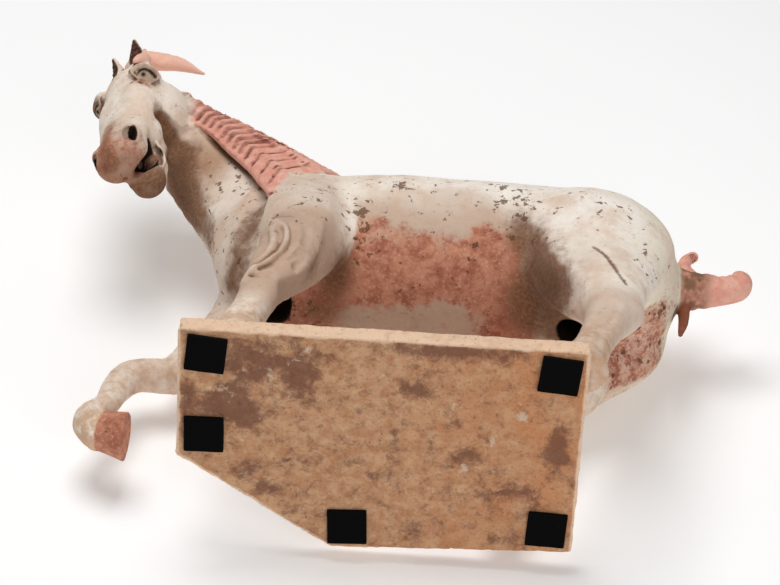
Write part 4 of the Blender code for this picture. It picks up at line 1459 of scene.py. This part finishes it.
def felt_pad(node, turn, seed, material):
    """A hand-cut square of pressed felt: a soft, slightly uneven edge and a fibrous face."""
    low, high = (np.array(corner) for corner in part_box(node))
    half = PAD_SIDE / 2
    thickness = high[2] - low[2]
    points, quads = box_surface((28, 28, 6))
    points *= (PAD_SIDE, PAD_SIDE, thickness)
    edge = np.maximum(np.abs(points[:, 0]), np.abs(points[:, 1])) / half
    round_off = np.clip((edge - 0.93) / 0.07, 0.0, 1.0) ** 2
    points[:, 2] *= 1.0 - 0.22 * round_off
    corner = np.clip((np.abs(points[:, 0]) + np.abs(points[:, 1])) / (2 * half) - 0.93, 0.0, 1.0)
    points[:, :2] *= (1.0 - 0.15 * corner)[:, None]
    wavy = 1.0 + 0.012 * edge**4 * unevenness(points + seed, 0.009, seed)
    points[:, :2] *= (wavy - 0.012)[:, None]
    fuzz = unevenness(points + seed, 0.0022, seed + 20)
    points[:, :2] *= (1.0 + 0.004 * edge**8 * fuzz)[:, None]
    bulge = 1.0 + 0.006 * edge**8 * (1.0 - (2 * points[:, 2] / thickness) ** 2)
    points[:, :2] *= bulge[:, None]
    points[:, 2] -= 0.00012 * (1.0 + fuzz) * np.sign(points[:, 2]) * (np.abs(points[:, 2]) > thickness * 0.4)
    angle = math.radians(turn)
    bend = np.array(((math.cos(angle), -math.sin(angle)), (math.sin(angle), math.cos(angle))))
    points[:, :2] = points[:, :2] @ bend.T
    points += (low + high) / 2
    mesh = bpy.data.meshes.new(node + "_felt")
    mesh.from_pydata(points.tolist(), [], quads)
    mesh.materials.append(material)
    mesh.shade_smooth()
    pad = linked(node + "_felt", mesh)
    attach(pad, "root")
    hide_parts(node)


# The photograph's camera, in the slab's frame: it looks up at the slab's underside.
CAMERA_RISE = math.radians(30.0)
CAMERA_YAW = math.radians(-0.32)
CAMERA_ROLL = math.radians(-3.38)
CAMERA_SHIFT = np.array((-0.0098, -0.1223, 2.3766))
FOCAL_PIXELS = 3000.0
PHOTO_WIDTH = 780.0
SENSOR = 36.0


def camera_axes():
    """Right, up and depth of the photograph."""
    cos, sin = math.cos(CAMERA_YAW), math.sin(CAMERA_YAW)
    yaw = np.array(((cos, 0.0, sin), (0.0, 1.0, 0.0), (-sin, 0.0, cos)))
    depth = yaw @ np.array((0.0, math.sin(CAMERA_RISE), math.cos(CAMERA_RISE)))
    level = yaw @ np.array((0.0, -math.cos(CAMERA_RISE), math.sin(CAMERA_RISE)))
    across = np.cross(depth, level)
    up = math.cos(CAMERA_ROLL) * level + math.sin(CAMERA_ROLL) * across
    right = math.cos(CAMERA_ROLL) * across - math.sin(CAMERA_ROLL) * level
    return right, up, depth


def set_camera():
    right, up, depth = camera_axes()
    spot = ORIGIN - np.array((right, up, depth)).T @ CAMERA_SHIFT
    data = bpy.data.cameras.new("camera")
    data.lens = FOCAL_PIXELS / PHOTO_WIDTH * SENSOR
    data.sensor_width = SENSOR
    data.clip_start = 0.05
    data.clip_end = 60.0
    camera = linked("camera", data)
    turn = Matrix(np.array((right, up, -depth)).T.tolist()).to_4x4()
    camera.matrix_world = Matrix.Translation(Vector(spot)) @ turn
    bpy.context.scene.camera = camera


def stage_material():
    """Plain and pale, and seen from its front alone."""
    n = Nodes("stage")
    n.surface(Base_Color=STAGE_WHITE, Roughness=0.9, Specular_IOR_Level=0.0)
    n.surface(Emission_Color=(1.0, 1.0, 1.0), Emission_Strength=0.15)
    both = n.node("ShaderNodeMixShader")
    n.feed(both.inputs[0], n.node("ShaderNodeNewGeometry").outputs["Backfacing"])
    n.feed(both.inputs[1], n.shader.outputs[0])
    n.feed(both.inputs[2], n.node("ShaderNodeBsdfTransparent").outputs[0])
    n.feed(n.tree.nodes["Material Output"].inputs["Surface"], both.outputs[0])
    return n.material


def stage_sheet(name, spot, normal, size, material, bounces):
    """A large square that lets light through and hides nothing behind it."""
    corners = [(x * size / 2, y * size / 2, 0) for x, y in ((-1, -1), (1, -1), (1, 1), (-1, 1))]
    mesh = bpy.data.meshes.new(name)
    mesh.from_pydata(corners, [], [(0, 1, 2, 3)])
    mesh.materials.append(material)
    sheet = linked(name, mesh)
    sheet.rotation_mode = "QUATERNION"
    sheet.rotation_quaternion = Vector(normal).to_track_quat("Z", "Y")
    sheet.location = spot
    sheet.visible_shadow = False
    sheet.visible_diffuse = bounces
    sheet.visible_glossy = False


def set_stage(horse):
    """The shelf that the horse stands on and the white table that it lies on in the photograph."""
    material = stage_material()
    stage_sheet("floor", (0.0, 0.0, 0.0), (0.0, 0.0, 1.0), 12.0, material, False)
    facing = np.array((0.0, -0.9965, -0.083))
    furthest = (rows_of(horse.data, "co") @ -facing).max() + 0.0005
    stage_sheet("table", tuple(-facing * furthest), tuple(facing), 12.0, material, True)


def lamp(name, direction, distance, size, power):
    """A round lamp that shines on the middle of the horse."""
    data = bpy.data.lights.new(name, "AREA")
    data.shape = "DISK"
    data.size = size
    data.energy = power
    light = linked(name, data)
    away = Vector(direction).normalized()
    light.location = Vector((0.0, 0.0, 0.26)) + away * distance
    light.rotation_mode = "QUATERNION"
    light.rotation_quaternion = away.to_track_quat("Z", "Y")
    light.visible_camera = False


def set_light():
    world = bpy.data.worlds.new("studio")
    world.use_nodes = True
    world.node_tree.nodes["Background"].inputs["Color"].default_value = (1.0, 1.0, 1.0, 1.0)
    world.node_tree.nodes["Background"].inputs["Strength"].default_value = 0.30
    bpy.context.scene.world = world
    bpy.context.scene.view_settings.view_transform = "Standard"
    right, up, depth = camera_axes()
    lamp("key", up * 1.0 - right * 0.15 - depth * 0.55, 2.2, 1.4, 30.0)
    lamp("front", -depth + right * 0.3 - up * 0.25, 2.4, 1.8, 16.0)
    lamp("above", (0.3, 0.6, 1.0), 2.4, 1.6, 12.0)


def main():
    set_camera()
    horse = build_horse(painted_pottery())
    felt = black_felt()
    for number, (node, turn) in enumerate(zip(PAD_NAMES, PAD_TURNS), 1):
        felt_pad(node, turn, number, felt)
    set_stage(horse)
    set_light()


main()
